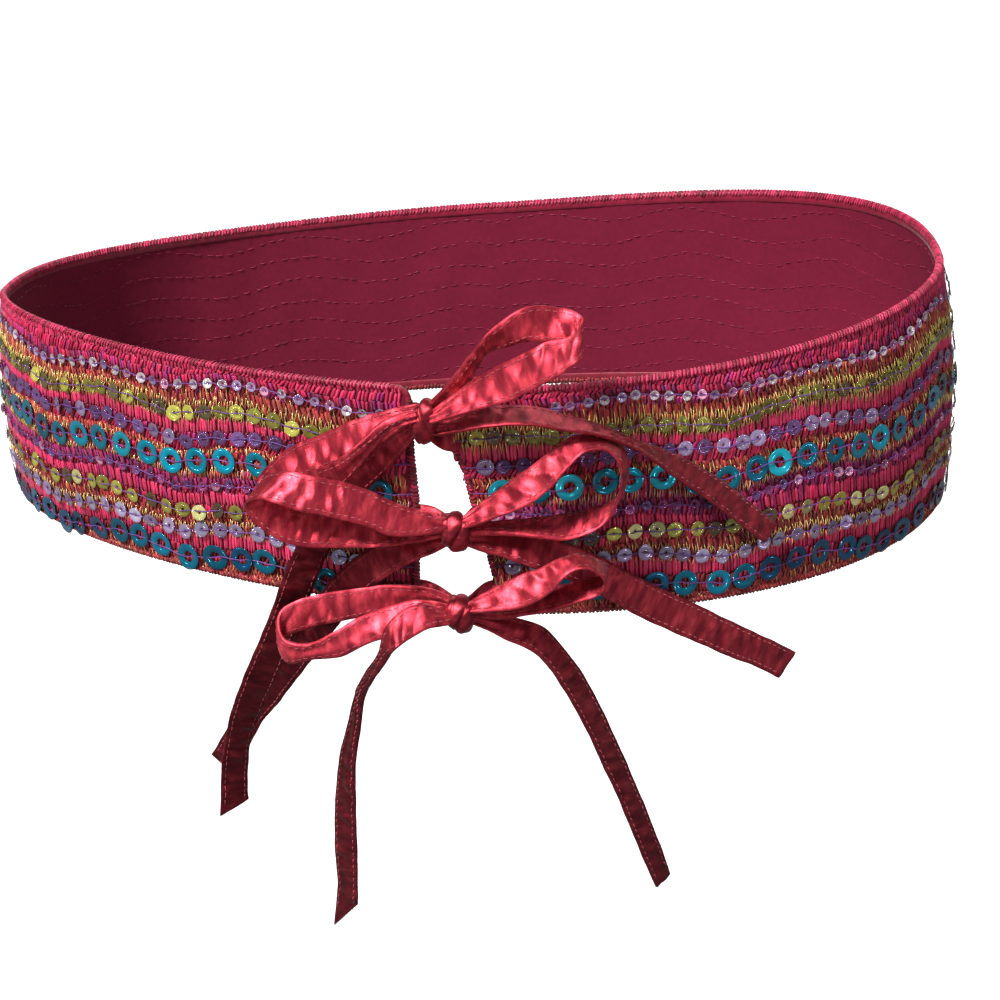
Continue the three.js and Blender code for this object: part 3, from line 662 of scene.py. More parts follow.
# Painted shade and highlight round a sequin's section: darker at its hole and rim, lighter over its middle,
# for the dark outlines of glassy plastic.
PROFILE_PAINTED_SHADE = (0.4, 0.88, 1.1, 0.92, 0.35, 0.6, 0.6)
DISC_SIDES, RING_SIDES = 12, 26


def sequin_places(row):
    start, end = row_ends(row["level"], EDGE_MARGIN + row["wide"] / 2)
    length = spaced(start, end, row["pitch"], 0.12, first=0.5)
    down = row_down(row["level"], length) + rng.normal(0, 0.3, len(length)) / BAND_HEIGHT
    return length, down


def sequin_profile(row):
    """Radius and height round the section of a sequin, from its hole over its rim."""
    hole, edge, cup, thick = row["hole"] / 2, row["wide"] / 2, row["cup"], SEQUIN_THICK
    return (
        (hole, thick / 2), (hole + BEVEL, thick), (hole + (edge - hole) * 0.45, thick + cup * 0.3),
        (edge - BEVEL, thick + cup), (edge, thick / 2 + cup), (edge - BEVEL, cup),
        (hole + BEVEL, 0.0),
    )


def make_sequins(name, rows, around, material):
    all_points, all_tints = [], []
    angles = np.arange(around) / around * TURN
    ring_points = around * len(PROFILE_PAINTED_SHADE)
    for row in table_rows(SEQUIN_COLUMNS, rows):
        length, down = sequin_places(row)
        count = len(length)
        centre = on_band(length, down, SEQUIN_OUT)
        east = unit(on_band(length + 0.5, down, SEQUIN_OUT) - on_band(length - 0.5, down, SEQUIN_OUT))
        out = on_band(length, down, SEQUIN_OUT + 1) - centre
        tilt = SEQUIN_TILT * (MIDDLE_SEQUIN / max(row["wide"], MIDDLE_SEQUIN)) ** 1.3
        tilt_x, tilt_y = rng.normal(0, tilt, (2, count, 1))
        out = unit(out + east * tilt_x + np.cross(out, east) * tilt_y)
        north = unit(np.cross(out, east))
        east = np.cross(north, out)
        uneven = 1 + rng.normal(0, 0.03, (count, 1))
        spokes = []
        for radius, lift in sequin_profile(row):
            flat = radius * uneven
            spokes.append(
                centre[:, None]
                + east[:, None] * (flat * np.cos(angles))[..., None]
                + north[:, None] * (flat * np.sin(angles))[..., None]
                + out[:, None] * lift
            )
        all_points.append(np.stack(spokes, 2).reshape(-1, 3))
        colours = palette(row["colours"])
        # Each sequin's tone differs at random, and a share of them are brightened as painted glints.
        shade = rng.uniform(0.6, 1.15, (count, 1)) + (rng.random((count, 1)) < PAINTED_GLINT_SHARE) * 0.5
        tint = np.clip(colours[rng.integers(0, len(colours), count)] * shade, 0, 1)
        # Painted shade on each sequin's rims and a painted highlight over its middle.
        painted_rims = np.tile(PROFILE_PAINTED_SHADE, around * count)[:, None]
        all_tints.append(np.repeat(tint, ring_points, axis=0) * painted_rims)
    points = np.concatenate(all_points)
    grid = np.arange(len(points)).reshape(-1, around, len(PROFILE_PAINTED_SHADE))
    return make_mesh(name, points, wall_faces(grid, closed=True), material, np.concatenate(all_tints))


# The violet thread that holds each row: over a sequin, down through its hole and on
THREAD_WIDTH = 0.42
THREAD_HIGH = 0.5
THREAD_STEPS = 5
THREAD_RIDGE = 0.55


def make_threads():
    all_points, all_faces, all_tints = [], [], []
    total = 0
    for row in table_rows(SEQUIN_COLUMNS, DISC_ROWS + RING_ROWS):
        start, end = row_ends(row["level"], EDGE_MARGIN)
        stations = int((end - start) / row["pitch"] * THREAD_STEPS)
        length = np.linspace(start, end, stations)
        sway = 0.25 * np.sin(length / 1.7) + 0.2 * np.sin(length / 4.3)
        down = row_down(row["level"], length) + sway / BAND_HEIGHT
        out = SEQUIN_OUT + THREAD_HIGH * (0.75 + 0.35 * np.sin(length / row["pitch"] * TURN * 2))
        rings = []
        for side, lift in RIDGE:
            shifted = down + side * THREAD_WIDTH / BAND_HEIGHT
            rings.append(on_band(length, shifted, out + lift * THREAD_RIDGE * THREAD_WIDTH))
        points = np.stack(rings, 1).reshape(-1, 3)
        all_points.append(points)
        all_faces.append(strand_faces(len(points), stations, RIDGE_SIDES) + total)
        shade = np.repeat(0.8 + 0.4 * rng.random(stations), RIDGE_SIDES)[:, None]
        all_tints.append(linear(*VIOLET)[None, :] * shade)
        total += len(points)
    points, faces, tints = map(np.concatenate, (all_points, all_faces, all_tints))
    return make_mesh("sequin_threads", points, faces, silk, tints)


# The band's edges. A spot is a length along an edge, in millimetres: round the ring for the
# top and bottom, and down the height for the front edges. The inset is how far in it lies.
def top_edge(spot, inset):
    return spot, inset / BAND_HEIGHT + 0 * spot


def bottom_edge(spot, inset):
    return spot, 1 - inset / BAND_HEIGHT + 0 * spot


def right_edge(spot, inset):
    return panel_start(spot / BAND_HEIGHT) + inset, spot / BAND_HEIGHT


def left_edge(spot, inset):
    return panel_end(spot / BAND_HEIGHT) - inset, spot / BAND_HEIGHT


TOP_RUN = (float(panel_start(0)) + CORNER_RADIUS, float(panel_end(0)) - CORNER_RADIUS)
BOTTOM_RUN = (float(panel_start(1)), float(panel_end(1)))
FRONT_RUN = (CORNER_RADIUS, BAND_HEIGHT)


def rounded(edge):
    """A front edge that starts with its rounded top corner, at a quarter of the spots."""
    def place(spots, inset):
        turn = np.linspace(0, math.pi / 2, len(spots) // 4)
        radius = CORNER_RADIUS - inset
        straight = np.linspace(*FRONT_RUN, len(spots) - len(turn) + 1)[1:]
        inward = np.concatenate([CORNER_RADIUS - radius * np.sin(turn), np.full(len(straight), inset)])
        return edge(np.concatenate([CORNER_RADIUS - radius * np.cos(turn), straight]), inward)
    return place


# Hems: a narrow folded binding round each edge of the band
HEM_PATH = {
    "inset": (1.7, 1.5, 0.9, 0.3, 0.0, -0.1, 0.0, 0.5, 3.6, 4.0),
    "out": (-1.1, -0.6, -0.4, -0.45, -0.8, -1.3, -1.8, -2.3, -2.5, -2.2),
}
HEM_STEP = 1.6
HEM_LIFT = 0.12
EDGE_STATIONS = 60
TOP_HEM, BOTTOM_HEM, FRONT_HEM = (134, 20, 50), (122, 22, 44), (132, 22, 44)


def make_hem(name, edge, run, stations, colour):
    number = np.arange(stations)
    ripple = HEM_LIFT * np.sin(number * 1.9) * np.sin(number * 0.37)
    rings = []
    for inset, out in zip(*HEM_PATH.values()):
        length, down = edge(np.linspace(*run, stations), inset)
        rings.append(on_band(length, down, out + ripple))
    sides = len(rings)
    shade = np.repeat(0.85 + 0.3 * rng.random(stations), sides)[:, None]
    points = np.stack(rings, 1)
    return make_strands(name, points, stations, sides, silk, linear(*colour)[None, :] * shade)


# Overcast stitches wrapped over each edge, from the outside to the inside
WRAP_PATH = {
    "inset": (2.0, 0.9, -0.25, -0.25, 0.9, 1.9),
    "out": (-0.75, -0.05, -0.7, -1.8, -2.55, -2.3),
}
WRAP_STATIONS = len(WRAP_PATH["out"])
WRAP_PITCH = 1.25
WRAP_WIDTH = 0.95
WRAP_SLANT = 0.9
WRAP_HIGH, WRAP_PAST = 0.28, 0.25


def wrap_stitches(edge, run, colours):
    spot = spaced(*run, WRAP_PITCH, 0.2)
    count = len(spot)
    reach = rng.uniform(0.75, 1.15, count)
    rings = []
    for side, lift in RIDGE:
        stations = []
        for k, (inset, out) in enumerate(zip(*WRAP_PATH.values())):
            share = k / (WRAP_STATIONS - 1)
            inset = np.where(inset > 1, inset * reach, inset) - lift * WRAP_PAST * (inset < 0)
            swell = lift * WRAP_HIGH * (1 if share < 0.5 else -1) * (inset >= 0)
            shift = side * WRAP_WIDTH + (share - 0.5) * WRAP_SLANT
            length, down = edge(spot + shift, inset)
            stations.append(on_band(length, down, out + swell))
        rings.append(np.stack(stations, 1))
    colours = palette(colours)
    tint = colours[rng.integers(0, len(colours), count)] * rng.uniform(0.65, 1.15, (count, 1))
    points = np.stack(rings, 2).reshape(-1, 3)
    return points, np.repeat(tint, WRAP_STATIONS * RIDGE_SIDES, axis=0)


def make_wraps():
    runs = (
        wrap_stitches(top_edge, TOP_RUN, (CRIMSON, DEEP_CRIMSON, PINK)),
        wrap_stitches(bottom_edge, BOTTOM_RUN, (RUST, DARK_RUST, RUST)),
        wrap_stitches(right_edge, FRONT_RUN, (WINE, CRIMSON, DARK_RUST)),
        wrap_stitches(left_edge, FRONT_RUN, (WINE, CRIMSON, DARK_RUST)),
    )
    points, tints = (np.concatenate(part) for part in zip(*runs))
    number = np.arange(len(points))
    along = number % (WRAP_STATIONS * RIDGE_SIDES) / RIDGE_SIDES
    across = np.array(RIDGE_UVS)[number % RIDGE_SIDES]
    uvs = np.stack([along, across], -1)
    return make_strands("edge_stitches", points, WRAP_STATIONS, RIDGE_SIDES, floss, tints, uvs)


# On the inside the sewing of each row shows as a line of short running stitches
REVERSE_PITCH = 4.2
REVERSE_WIDTH = 0.34
REVERSE_HIGH = 0.16
REVERSE_MARGIN = 6.0
REVERSE_PATH = {
    "along": np.array([-1.35, -0.54, 0.54, 1.35]),
    "sink": np.array([0.1, -0.22, -0.22, 0.1]),
}


def make_reverse():
    pieces = []
    for level in range(1, LAST_LEVEL):
        spot = spaced(*row_ends(level, REVERSE_MARGIN), REVERSE_PITCH, 0.2)
        length = spot[:, None] + REVERSE_PATH["along"][None, :]
        down = row_down(level, length) + rng.normal(0, 0.2, (len(spot), 1)) / BAND_HEIGHT
        rings = []
        for side, lift in RIDGE:
            shifted = down + side * REVERSE_WIDTH / BAND_HEIGHT
            out = CLOTH_INSIDE + REVERSE_PATH["sink"][None, :] - lift * REVERSE_HIGH
            rings.append(on_band(length, shifted, out))
        pieces.append(np.stack(rings, 2).reshape(-1, 3))
    stations = len(REVERSE_PATH["along"])
    return make_silk_strands("row_stitches_inside", pieces, stations, WINE, (0.7, 1.2))


# Ties: ribbons along tables of rows, as in the frame's own solids. The columns are x, z, how
# far out the middle lies in front of the band's face, the lean and the turn of the width in
# the plane in which the ties fan out, and the width.
TIE_COLUMNS = ("x", "z", "out", "lean", "turn", "wide")
FAN_TILT = math.radians(21)
RIBBON_WIDTH = 11.0
KNOT_COLUMNS = ("x", "z", "out", "long", "deep", "tall", "skew")
KNOTS = {
    "top": (-5.6, 26.5, 6.8, 7.0, 10.0, 14.0, 0.5),
    "middle": (3.0, -8.7, 7.5, 8.8, 10.0, 12.5, -0.4),
    "bottom": (4.0, -35.5, 8.5, 8.4, 12.0, 12.0, -0.5),
}
TIES = {
    "top_strap_left": (
        (-12, 25, -0.9, -90, 0, 9), (-10.5, 25, -0.6, -90, 0, 9),
        (-8.5, 25.5, 0.4, -90, 0, 9), (-6, 26, 4, -90, 0, 7),
    ),
    "top_strap_right": (
        (4.5, 19, -0.9, -90, 0, 9), (2.0, 19, -0.7, -90, 0, 9), (-0.5, 19.5, 0, -90, 0, 8.5),
        (-3, 21.5, 2, -90, 0, 7), (-4.5, 24, 5, -90, 0, 5),
    ),
    "top_loop_left": (
        (-7.5, 30, 6.5, -85, 15, 3.5), (-16, 26, 6.5, -65, 20, 8), (-26.5, 20.5, 6.5, -65, 10, 10.5),
        (-37, 15, 6, -70, 10, 10.5), (-46, 10.5, 6, -70, 10, 10.5), (-53.5, 4, 7, -65, 10, 10),
        (-57, -0.6, 8.3, -70, 15, 9.5), (-51, 0.3, 9.8, -75, 5, 10), (-40.5, 5.2, 11.2, -65, 5, 9),
        (-31, 11.5, 13.5, -65, -30, 8), (-23.5, 19.5, 13, -55, -50, 5.5), (-15.5, 27, 12, -55, -45, 4),
        (-7.5, 29.5, 10, -80, -25, 3),
    ),
    "top_loop_right": (
        (-4, 30, 6.5, -60, -25, 3.5), (4.6, 38.3, 8, -55, -45, 6.5), (10.6, 47, 9, -55, -55, 6.5),
        (14, 51.5, 10, -70, -55, 7.5), (19.5, 55, 11, -80, -40, 9.5), (26, 58, 12, -90, -20, 10.5),
        (34, 57.5, 13, -95, 0, 10.5), (40, 57, 15.5, -95, 0, 9), (42, 55, 19, -95, 0, 9),
        (40, 52.5, 22, -75, 0, 8), (33.5, 49.5, 21, -70, 0, 10.5), (26.5, 45.5, 19, -70, 5, 11),
        (18.5, 41, 16, -65, 10, 11), (9, 36, 12.5, -75, 20, 9), (-3.5, 28.5, 10, -80, 25, 3.5),
    ),
    "top_tail_left": (
        (-7.5, 24.5, 5, -80, -15, 4.5), (-14, 19, 4.5, -55, -30, 7), (-21.5, 11, 4, -45, -30, 9),
        (-29.5, 3.5, 4, -35, -30, 10), (-36.5, -7.5, 4.5, -25, -30, 11), (-42.5, -18.5, 5, -10, -30, 11),
        (-47.5, -30, 6.5, -5, -30, 11), (-53, -44.2, 7.5, -15, -30, 10.5), (-59.5, -59.2, 7.8, -20, -35, 11),
        (-66, -74.4, 7, -15, -40, 11), (-70.6, -87.7, 6, -5, -40, 9.6), (-72.9, -100.5, 5, 5, -40, 9.8),
        (-73.8, -114.5, 5, 5, -35, 10),
    ),
    "top_tail_right": (
        (-3.5, 24, 6.5, -90, 25, 4), (4.5, 25.5, 7, -85, 45, 6.5), (14, 28.5, 9, -90, 50, 9.5),
        (26.5, 29, 11, -95, 55, 10), (36.5, 26.5, 12, -100, 60, 9.5), (46.5, 23.5, 12, -105, 68, 9),
        (55.5, 18.5, 11, -115, 70, 6.5), (63, 13.5, 9, -115, 65, 9.5), (71.5, 6.5, 7, -115, 50, 10),
        (80, -0.5, 6, -115, 45, 10.5), (88.5, -8.5, 6, -130, 45, 10.5), (95, -15, 6, -130, 45, 10.5),
        (100, -20, 6, -145, 45, 10),
    ),
    "middle_strap_left": (
        (-12, -7, -0.9, -90, 0, 7.5), (-9.5, -7, -0.7, -90, 0, 7.5), (-5, -7.3, -0.3, -90, 0, 7),
        (-1, -8, 2, -90, 0, 6), (2, -8.7, 5.5, -90, 0, 5),
    ),
    "middle_strap_right": (
        (13, -7, -0.9, -90, 0, 7.5), (10, -7, -0.7, -90, 0, 7.5), (8, -7.3, -0.2, -90, 0, 7),
        (6, -8, 2.5, -90, 0, 6), (4, -8.7, 5.5, -90, 0, 5),
    ),
    "middle_loop_left": (
        (0.5, -8.5, 6.5, -90, 15, 4), (-10.5, -8.5, 8, -95, 30, 9), (-18, -8.5, 9.5, -90, 25, 10),
        (-27.5, -8.5, 10.5, -90, 10, 10.5), (-38, -8.2, 12.8, -90, 10, 11),
        (-47.5, -6.8, 16.2, -95, 8, 10.5),
        (-55, -2.1, 18.2, -105, 10, 10), (-57.5, 4.8, 20.6, -125, 10, 10), (-51, 8.8, 22.8, -125, 10, 10.5),
        (-41, 7, 22.3, -105, 0, 11), (-31.5, 5, 20, -105, 0, 11), (-22.5, 2, 18, -110, 10, 10.5),
        (-14.5, -2.5, 15, -105, 15, 10), (-6.5, -4.5, 12, -100, 20, 7.5), (0.5, -5.5, 10, -90, 15, 4),
    ),
    "middle_loop_right": (
        (5.5, -5.5, 9, -90, 25, 4), (15, 0.5, 11, -70, 40, 9), (23, 5.5, 13, -60, 35, 11),
        (29.5, 10.5, 14, -55, 35, 11), (35, 15.5, 14, -55, 45, 10.5), (41, 20, 14, -65, 50, 9.5),
        (47.5, 20, 14, -80, 60, 8.5), (52.5, 17, 14, -110, 68, 10.5), (54.5, 11.5, 14, -115, 70, 11),
        (54, 4.5, 13, -120, 65, 10), (50.5, -2, 12, -95, 60, 9.5), (44.5, -5.5, 11, -80, 50, 11),
        (36.5, -7.5, 10, -85, 45, 11), (27, -7.5, 9, -95, 50, 8.5), (16.5, -7.5, 8, -90, 50, 5.5),
        (5.5, -8.5, 7, -90, 30, 3.5),
    ),
    "middle_tail_left": (
        (0.5, -12, 5.5, -85, 10, 3.5), (-8, -15, 4, -65, 30, 8), (-15.5, -18, 3.5, -60, 20, 9.5),
        (-23.5, -23, 3, -60, 10, 10.5), (-31.5, -30.5, 3, -50, 10, 11), (-39.5, -41, 3, -40, 10, 11),
        (-47, -52.2, 1.2, -35, 5, 11), (-54.5, -62.9, -1.2, -35, 0, 11), (-62, -75.4, -4, -25, 10, 10.5),
        (-69.4, -87.2, -5.5, -15, 20, 10), (-79.2, -105.6, -6, -25, 15, 10.5),
    ),
    "middle_tail_right": (
        (5.5, -12.2, 5.5, -90, 15, 3.5), (16, -14, 5, -95, 35, 8.5), (26, -16.3, 5.8, -105, 30, 11),
        (35, -20.5, 4, -110, 20, 11), (44.5, -25.5, 4, -115, 20, 11), (54, -32, 4, -115, 20, 11),
        (64, -39, 4, -115, 10, 11), (76.5, -47, 4, -110, 10, 11), (89.5, -56, 4, -115, 10, 10.5),
        (99, -62.5, 4, -115, 10, 10), (106.5, -68.5, 4, -110, 10, 10),
    ),
    "bottom_strap_left": (
        (-12, -33, -0.9, -90, 0, 9), (-9.8, -33, -0.7, -90, 0, 9), (-5, -33.5, 0, -90, 0, 8.5),
        (2, -34.5, 4.5, -90, 0, 5),
    ),
    "bottom_strap_right": (
        (18, -33, -0.9, -90, 0, 9), (15.5, -33, -0.7, -90, 0, 9), (11, -33.5, 0.2, -90, 0, 8.5),
        (6, -34.5, 4.5, -90, 0, 5),
    ),
    "bottom_loop_left": (
        (1.5, -33.5, 5.5, -90, -15, 3.5), (-7, -31.5, 5.5, -85, -30, 7), (-17.5, -31.6, 6.5, -80, -30, 8.5),
        (-28, -33.9, 7.6, -85, -20, 9.5), (-38, -37, 7, -80, -20, 10), (-45.5, -39, 9, -75, -20, 10),
        (-53, -42.5, 13, -95, -20, 9.5), (-51, -48.5, 17, -85, -30, 9.5), (-43, -47.5, 18, -80, -30, 6),
        (-34, -44.5, 17, -70, -20, 8.5), (-26, -40, 15, -70, 0, 8.5), (-17, -37, 12.5, -70, 20, 9.5),
        (-8, -34, 10.5, -80, 20, 7), (1.5, -34.5, 9, -90, 15, 3.5),
    ),
    "bottom_loop_right": (
        (6.5, -33, 10, -90, 20, 3.5), (15, -29.5, 12, -80, 25, 8), (22.5, -26.5, 14, -80, 20, 10),
        (30, -22.6, 16, -65, 35, 10), (35.5, -18.4, 16.5, -65, 50, 9), (41, -16.6, 16.3, -70, 60, 9),
        (46, -18.8, 15.7, -80, 65, 10), (49, -22.6, 14.6, -95, 65, 11), (47, -26.2, 13.6, -90, 60, 10.5),
        (40.5, -28.3, 12.4, -80, 50, 9), (32, -31, 10.2, -85, 40, 8.5), (23.5, -33.6, 8, -85, 35, 7),
        (15, -35.5, 6.5, -85, 30, 5.5), (6.5, -35.5, 6.5, -90, 20, 3),
    ),
    "bottom_tail_left": (
        (1.5, -36, 12.3, -85, 20, 3), (-5.5, -33.5, 15.5, -70, 20, 8), (-11.5, -35.5, 17.5, -65, 20, 9),
        (-16.5, -39.4, 20.6, -55, 40, 8.5), (-19.5, -46.4, 19.5, -40, 60, 5.5),
        (-24.5, -55.5, 15, -40, 65, 7),
        (-28, -63.5, 12, -30, 60, 5), (-30.5, -75, 9, -10, 55, 7), (-33.5, -88.5, 7, -5, 50, 8.5),
        (-35, -104.5, 6, 0, 45, 10), (-35.5, -120.5, 6, 0, 40, 10), (-35.5, -135.5, 6, 0, 45, 10),
        (-36.5, -146.5, 6, 0, 40, 10),
    ),
    "bottom_tail_right": (
        (6.5, -38.5, 5.5, -95, 10, 3), (12.5, -40.8, 3.8, -110, 20, 5), (20, -43.5, 3.5, -120, 30, 8.5),
        (27.5, -47, 4, -125, 40, 10), (33.5, -54, 4.5, -140, 45, 9.5), (39, -63, 5, -150, 45, 10),
        (45, -76, 5, -160, 45, 9.5), (50.5, -90, 5, -160, 45, 9.5), (56, -104.5, 5, -160, 45, 9),
        (61.5, -120.5, 5, -160, 45, 9), (67, -137, 5, -160, 50, 8.5),
    ),
}
END_SLANTS = {
    "top_tail_left": -2.5, "top_tail_right": 1.5, "middle_tail_left": 1.5,
    "middle_tail_right": -1.5, "bottom_tail_left": -4.5, "bottom_tail_right": 1.0,
}
HANGING_TAILS = ("top_tail_left", "middle_tail_left", "bottom_tail_left", "bottom_tail_right")
# Painted light and shade on the satin: how much the tint brightens or darkens it near the knot
# and further on. Its floats run along the tie, so one that lies across catches the light, and one
# that hangs doesn't; the tint paints that in, brighter on loops and darker down hanging tails.
TIE_PAINTED_LIGHT = {"loop": (1.7, 1.7), "strap": (0.9, 0.9), "tail": (1.3, 1.0), "hanging": (1.5, 0.55)}
# Painted shade on the knots' satin.
KNOT_PAINTED_SHADE = 0.9
PAINTED_LIGHT_FADE = 26.0
RIBBON_STEPS = 13
RIBBON_ACROSS = 11
RIBBON_THICK = 0.95
GATHER_THICK = 0.09
PUCKER_HEIGHT = 0.46
PLEAT_HEIGHT = 0.75
STITCH_INSET = 1.3
SEAM_DEPTH = 0.22
SEAM_WIDTH = 0.35
SLANT_REACH = 6.0
FINE_PUCKER, WIDE_PUCKER = 1.25, 1.9
EDGE_SHARE, EDGE_LIFT = 1.015, 0.7
REVERSE_UV = 40.0


def smooth_table(rows, steps):
    """A Catmull-Rom curve through the rows."""
    rows = np.array(rows, float)
    before = np.concatenate([rows[:1], rows[:-1]])
    beyond = np.concatenate([rows[2:], rows[-1:], rows[-1:]])
    t = (np.arange(steps) / steps)[:, None]
    out = []
    for i in range(len(rows) - 1):
        a, b, c, d = before[i], rows[i], rows[i + 1], beyond[i]
        square = (2 * a - 5 * b + 4 * c - d) * t ** 2
        cube = (3 * b - a - 3 * c + d) * t ** 3
        out.append(b + ((c - a) * t + square + cube) / 2)
    return np.concatenate(out + [rows[-1:]])


def width_direction(lean, turn):
    lean, turn = np.radians(lean), np.radians(turn)
    flat = np.cos(turn)
    in_plane = np.sin(lean) * flat
    toward = np.sin(turn)
    return np.stack([
        np.cos(lean) * flat,
        in_plane * math.sin(FAN_TILT) - toward * math.cos(FAN_TILT),
        in_plane * math.cos(FAN_TILT) + toward * math.sin(FAN_TILT),
    ], -1)


class Ribbon:
    """The middle line, width direction and normal of a tie, at its stations."""

    def __init__(self, name):
        path = smooth_table(TIES[name], RIBBON_STEPS)
        row = dict(zip(TIE_COLUMNS, path.T))
        self.name = name
        self.wide = row["wide"]
        y = np.array([face_y(x, z) for x, z in zip(row["x"], row["z"])]) - row["out"]
        self.centre = np.stack([row["x"], y, row["z"]], -1)
        self.along = unit(np.gradient(self.centre, axis=0))
        self.across = width_direction(row["lean"], row["turn"])
        self.normal = unit(np.cross(self.along, self.across))
        steps = np.linalg.norm(np.diff(self.centre, axis=0), axis=1)
        self.length = np.concatenate([[0], np.cumsum(steps)])
        self.slant = END_SLANTS.get(name, 0.0)
        self.phase = rng.uniform(0, TURN, 6)
        self.thick = RIBBON_THICK + GATHER_THICK * (RIBBON_WIDTH - self.wide)

    def relief(self, length, share, wide):
        """Puckers across the tie, and pleats along it where it is gathered narrow. The
    puckers wander with waves of other lengths, so that no two are alike."""
        p = self.phase
        gathered = np.clip((RIBBON_WIDTH - wide) / RIBBON_WIDTH, 0, 1)
        middle = 1 - np.abs(share) ** 4
        turn = length / FINE_PUCKER + 1.7 * np.sin(length / 5.7 + p[0]) + 1.2 * share + p[1]
        crease = length / WIDE_PUCKER + 1.3 * np.sin(length / 7.1 + p[2]) - 1.9 * share + p[3]
        pucker = 0.8 * np.sin(turn) + 1.9 * (np.abs(np.sin(crease)) ** 0.55 - 0.75)
        pucker *= 0.6 + 0.4 * np.sin(length / 9.3 + 2.2 * share + p[4])
        pleat = np.sin(share * 5.2 + 0.5 * np.sin(length / 3.1 + p[5]) + p[1])
        return PUCKER_HEIGHT * pucker * middle * (1 - gathered) + PLEAT_HEIGHT * pleat * gathered

    def surface(self, share, lift):
        """Points at shares of the half width, -1 to 1, and lifts in half thicknesses."""
        share, lift = np.broadcast_arrays(np.asarray(share, float), np.asarray(lift, float))
        half = self.wide[:, None] / 2
        length = self.length[:, None]
        relief = self.relief(length, share, self.wide[:, None])
        edge = 1 + 0.025 * np.sin(length / 1.9 + self.phase[0]) * np.sin(length / 5.3)
        from_edge = half * (1 - np.abs(share))
        seam = SEAM_DEPTH * np.exp(-((from_edge - STITCH_INSET) / SEAM_WIDTH) ** 2)
        out = relief + self.thick[:, None] / 2 * lift - np.sign(lift) * seam
        reach = np.clip(1 - (self.length[-1] - length) / SLANT_REACH, 0, 1)
        slide = share * self.slant * reach
        return (
            self.centre[:, None]
            + self.across[:, None] * (half * share * edge)[..., None]
            + self.normal[:, None] * out[..., None]
            + self.along[:, None] * slide[..., None]
        )


def make_tie(ribbon):
    share = np.linspace(-1, 1, RIBBON_ACROSS)
    shares = np.concatenate([share, [EDGE_SHARE], share[::-1], [-EDGE_SHARE]])
    lifts = np.concatenate([np.ones(RIBBON_ACROSS), [0], -np.ones(RIBBON_ACROSS), [0]])
    lifts[[0, RIBBON_ACROSS - 1, RIBBON_ACROSS + 1, 2 * RIBBON_ACROSS]] *= EDGE_LIFT
    points = ribbon.surface(shares[None, :], lifts[None, :])
    stations, sides = points.shape[:2]
    v = shares[None, :] * RIBBON_WIDTH / 2 + np.where(lifts < 0, REVERSE_UV, 0)[None, :]
    u = ribbon.length[:, None] + ribbon.phase[2] * 60
    uvs = np.stack(np.broadcast_arrays(u, v), -1)
    kind = "hanging" if ribbon.name in HANGING_TAILS else ribbon.name.split("_")[1]
    # The tie's tint is painted light and shade, set by the kind of piece and fading along it.
    near, far = TIE_PAINTED_LIGHT[kind]
    shade = far + (near - far) * np.exp(-(ribbon.length / PAINTED_LIGHT_FADE) ** 2)
    tints = np.repeat(shade, sides)[:, None] * np.ones((1, 3))
    return make_strands(ribbon.name + "_satin", points, stations, sides, tie_satin, tints, uvs)


# Topstitching: a dashed line inside each edge, on both faces
DASH_PITCH = 2.3
DASH_LENGTH = 1.5
DASH_WIDTH = 0.3
DASH_HIGH = 0.16
DASH_ARCH = np.array([-0.03, 0.18, -0.03])
DASH_COLOUR = (176, 72, 84)
SHORTEST_STITCHED = 20.0


def dashes_on(ribbon):
    def at(values):
        return np.stack([np.interp(length, ribbon.length, values[:, k]) for k in range(3)], -1)

    count = int((ribbon.length[-1] - 2) / DASH_PITCH)
    starts = 1 + np.arange(count) * DASH_PITCH
    length = starts[:, None] + DASH_LENGTH * np.array([0.0, 0.5, 1.0])[None, :]
    line = np.maximum(1 - STITCH_INSET * 2 / ribbon.wide, 0.2)
    pieces = []
    for side in (-1, 1):
        for face in (-1, 1):
            rings = []
            for offset, lift in RIDGE:
                share = side * line + offset * DASH_WIDTH * 2 / ribbon.wide
                on_face = ribbon.surface(share[:, None], np.full((1, 1), face))[:, 0]
                height = SEAM_DEPTH * 0.4 + DASH_ARCH[None, :] + lift * DASH_HIGH
                rings.append(at(on_face) + face * at(ribbon.normal) * height[..., None])
            pieces.append(np.stack(rings, 2).reshape(-1, 3))
    return np.concatenate(pieces)


def make_dashes(ribbons):
    pieces = [dashes_on(ribbon) for ribbon in ribbons if ribbon.length[-1] > SHORTEST_STITCHED]
    return make_silk_strands("tie_topstitching", pieces, len(DASH_ARCH), DASH_COLOUR, (0.6, 1.1))


# Frayed ends: short loose threads past the cut of each tail
FRAY_COUNT = 16
FRAY_WIDTH = 0.22
FRAY_COLOUR = (118, 24, 44)
FRAY_PATH = {"along": np.array([-0.6, 0.0, 0.5, 1.0]), "taper": np.array([1, 1, 0.8, 0.3])}


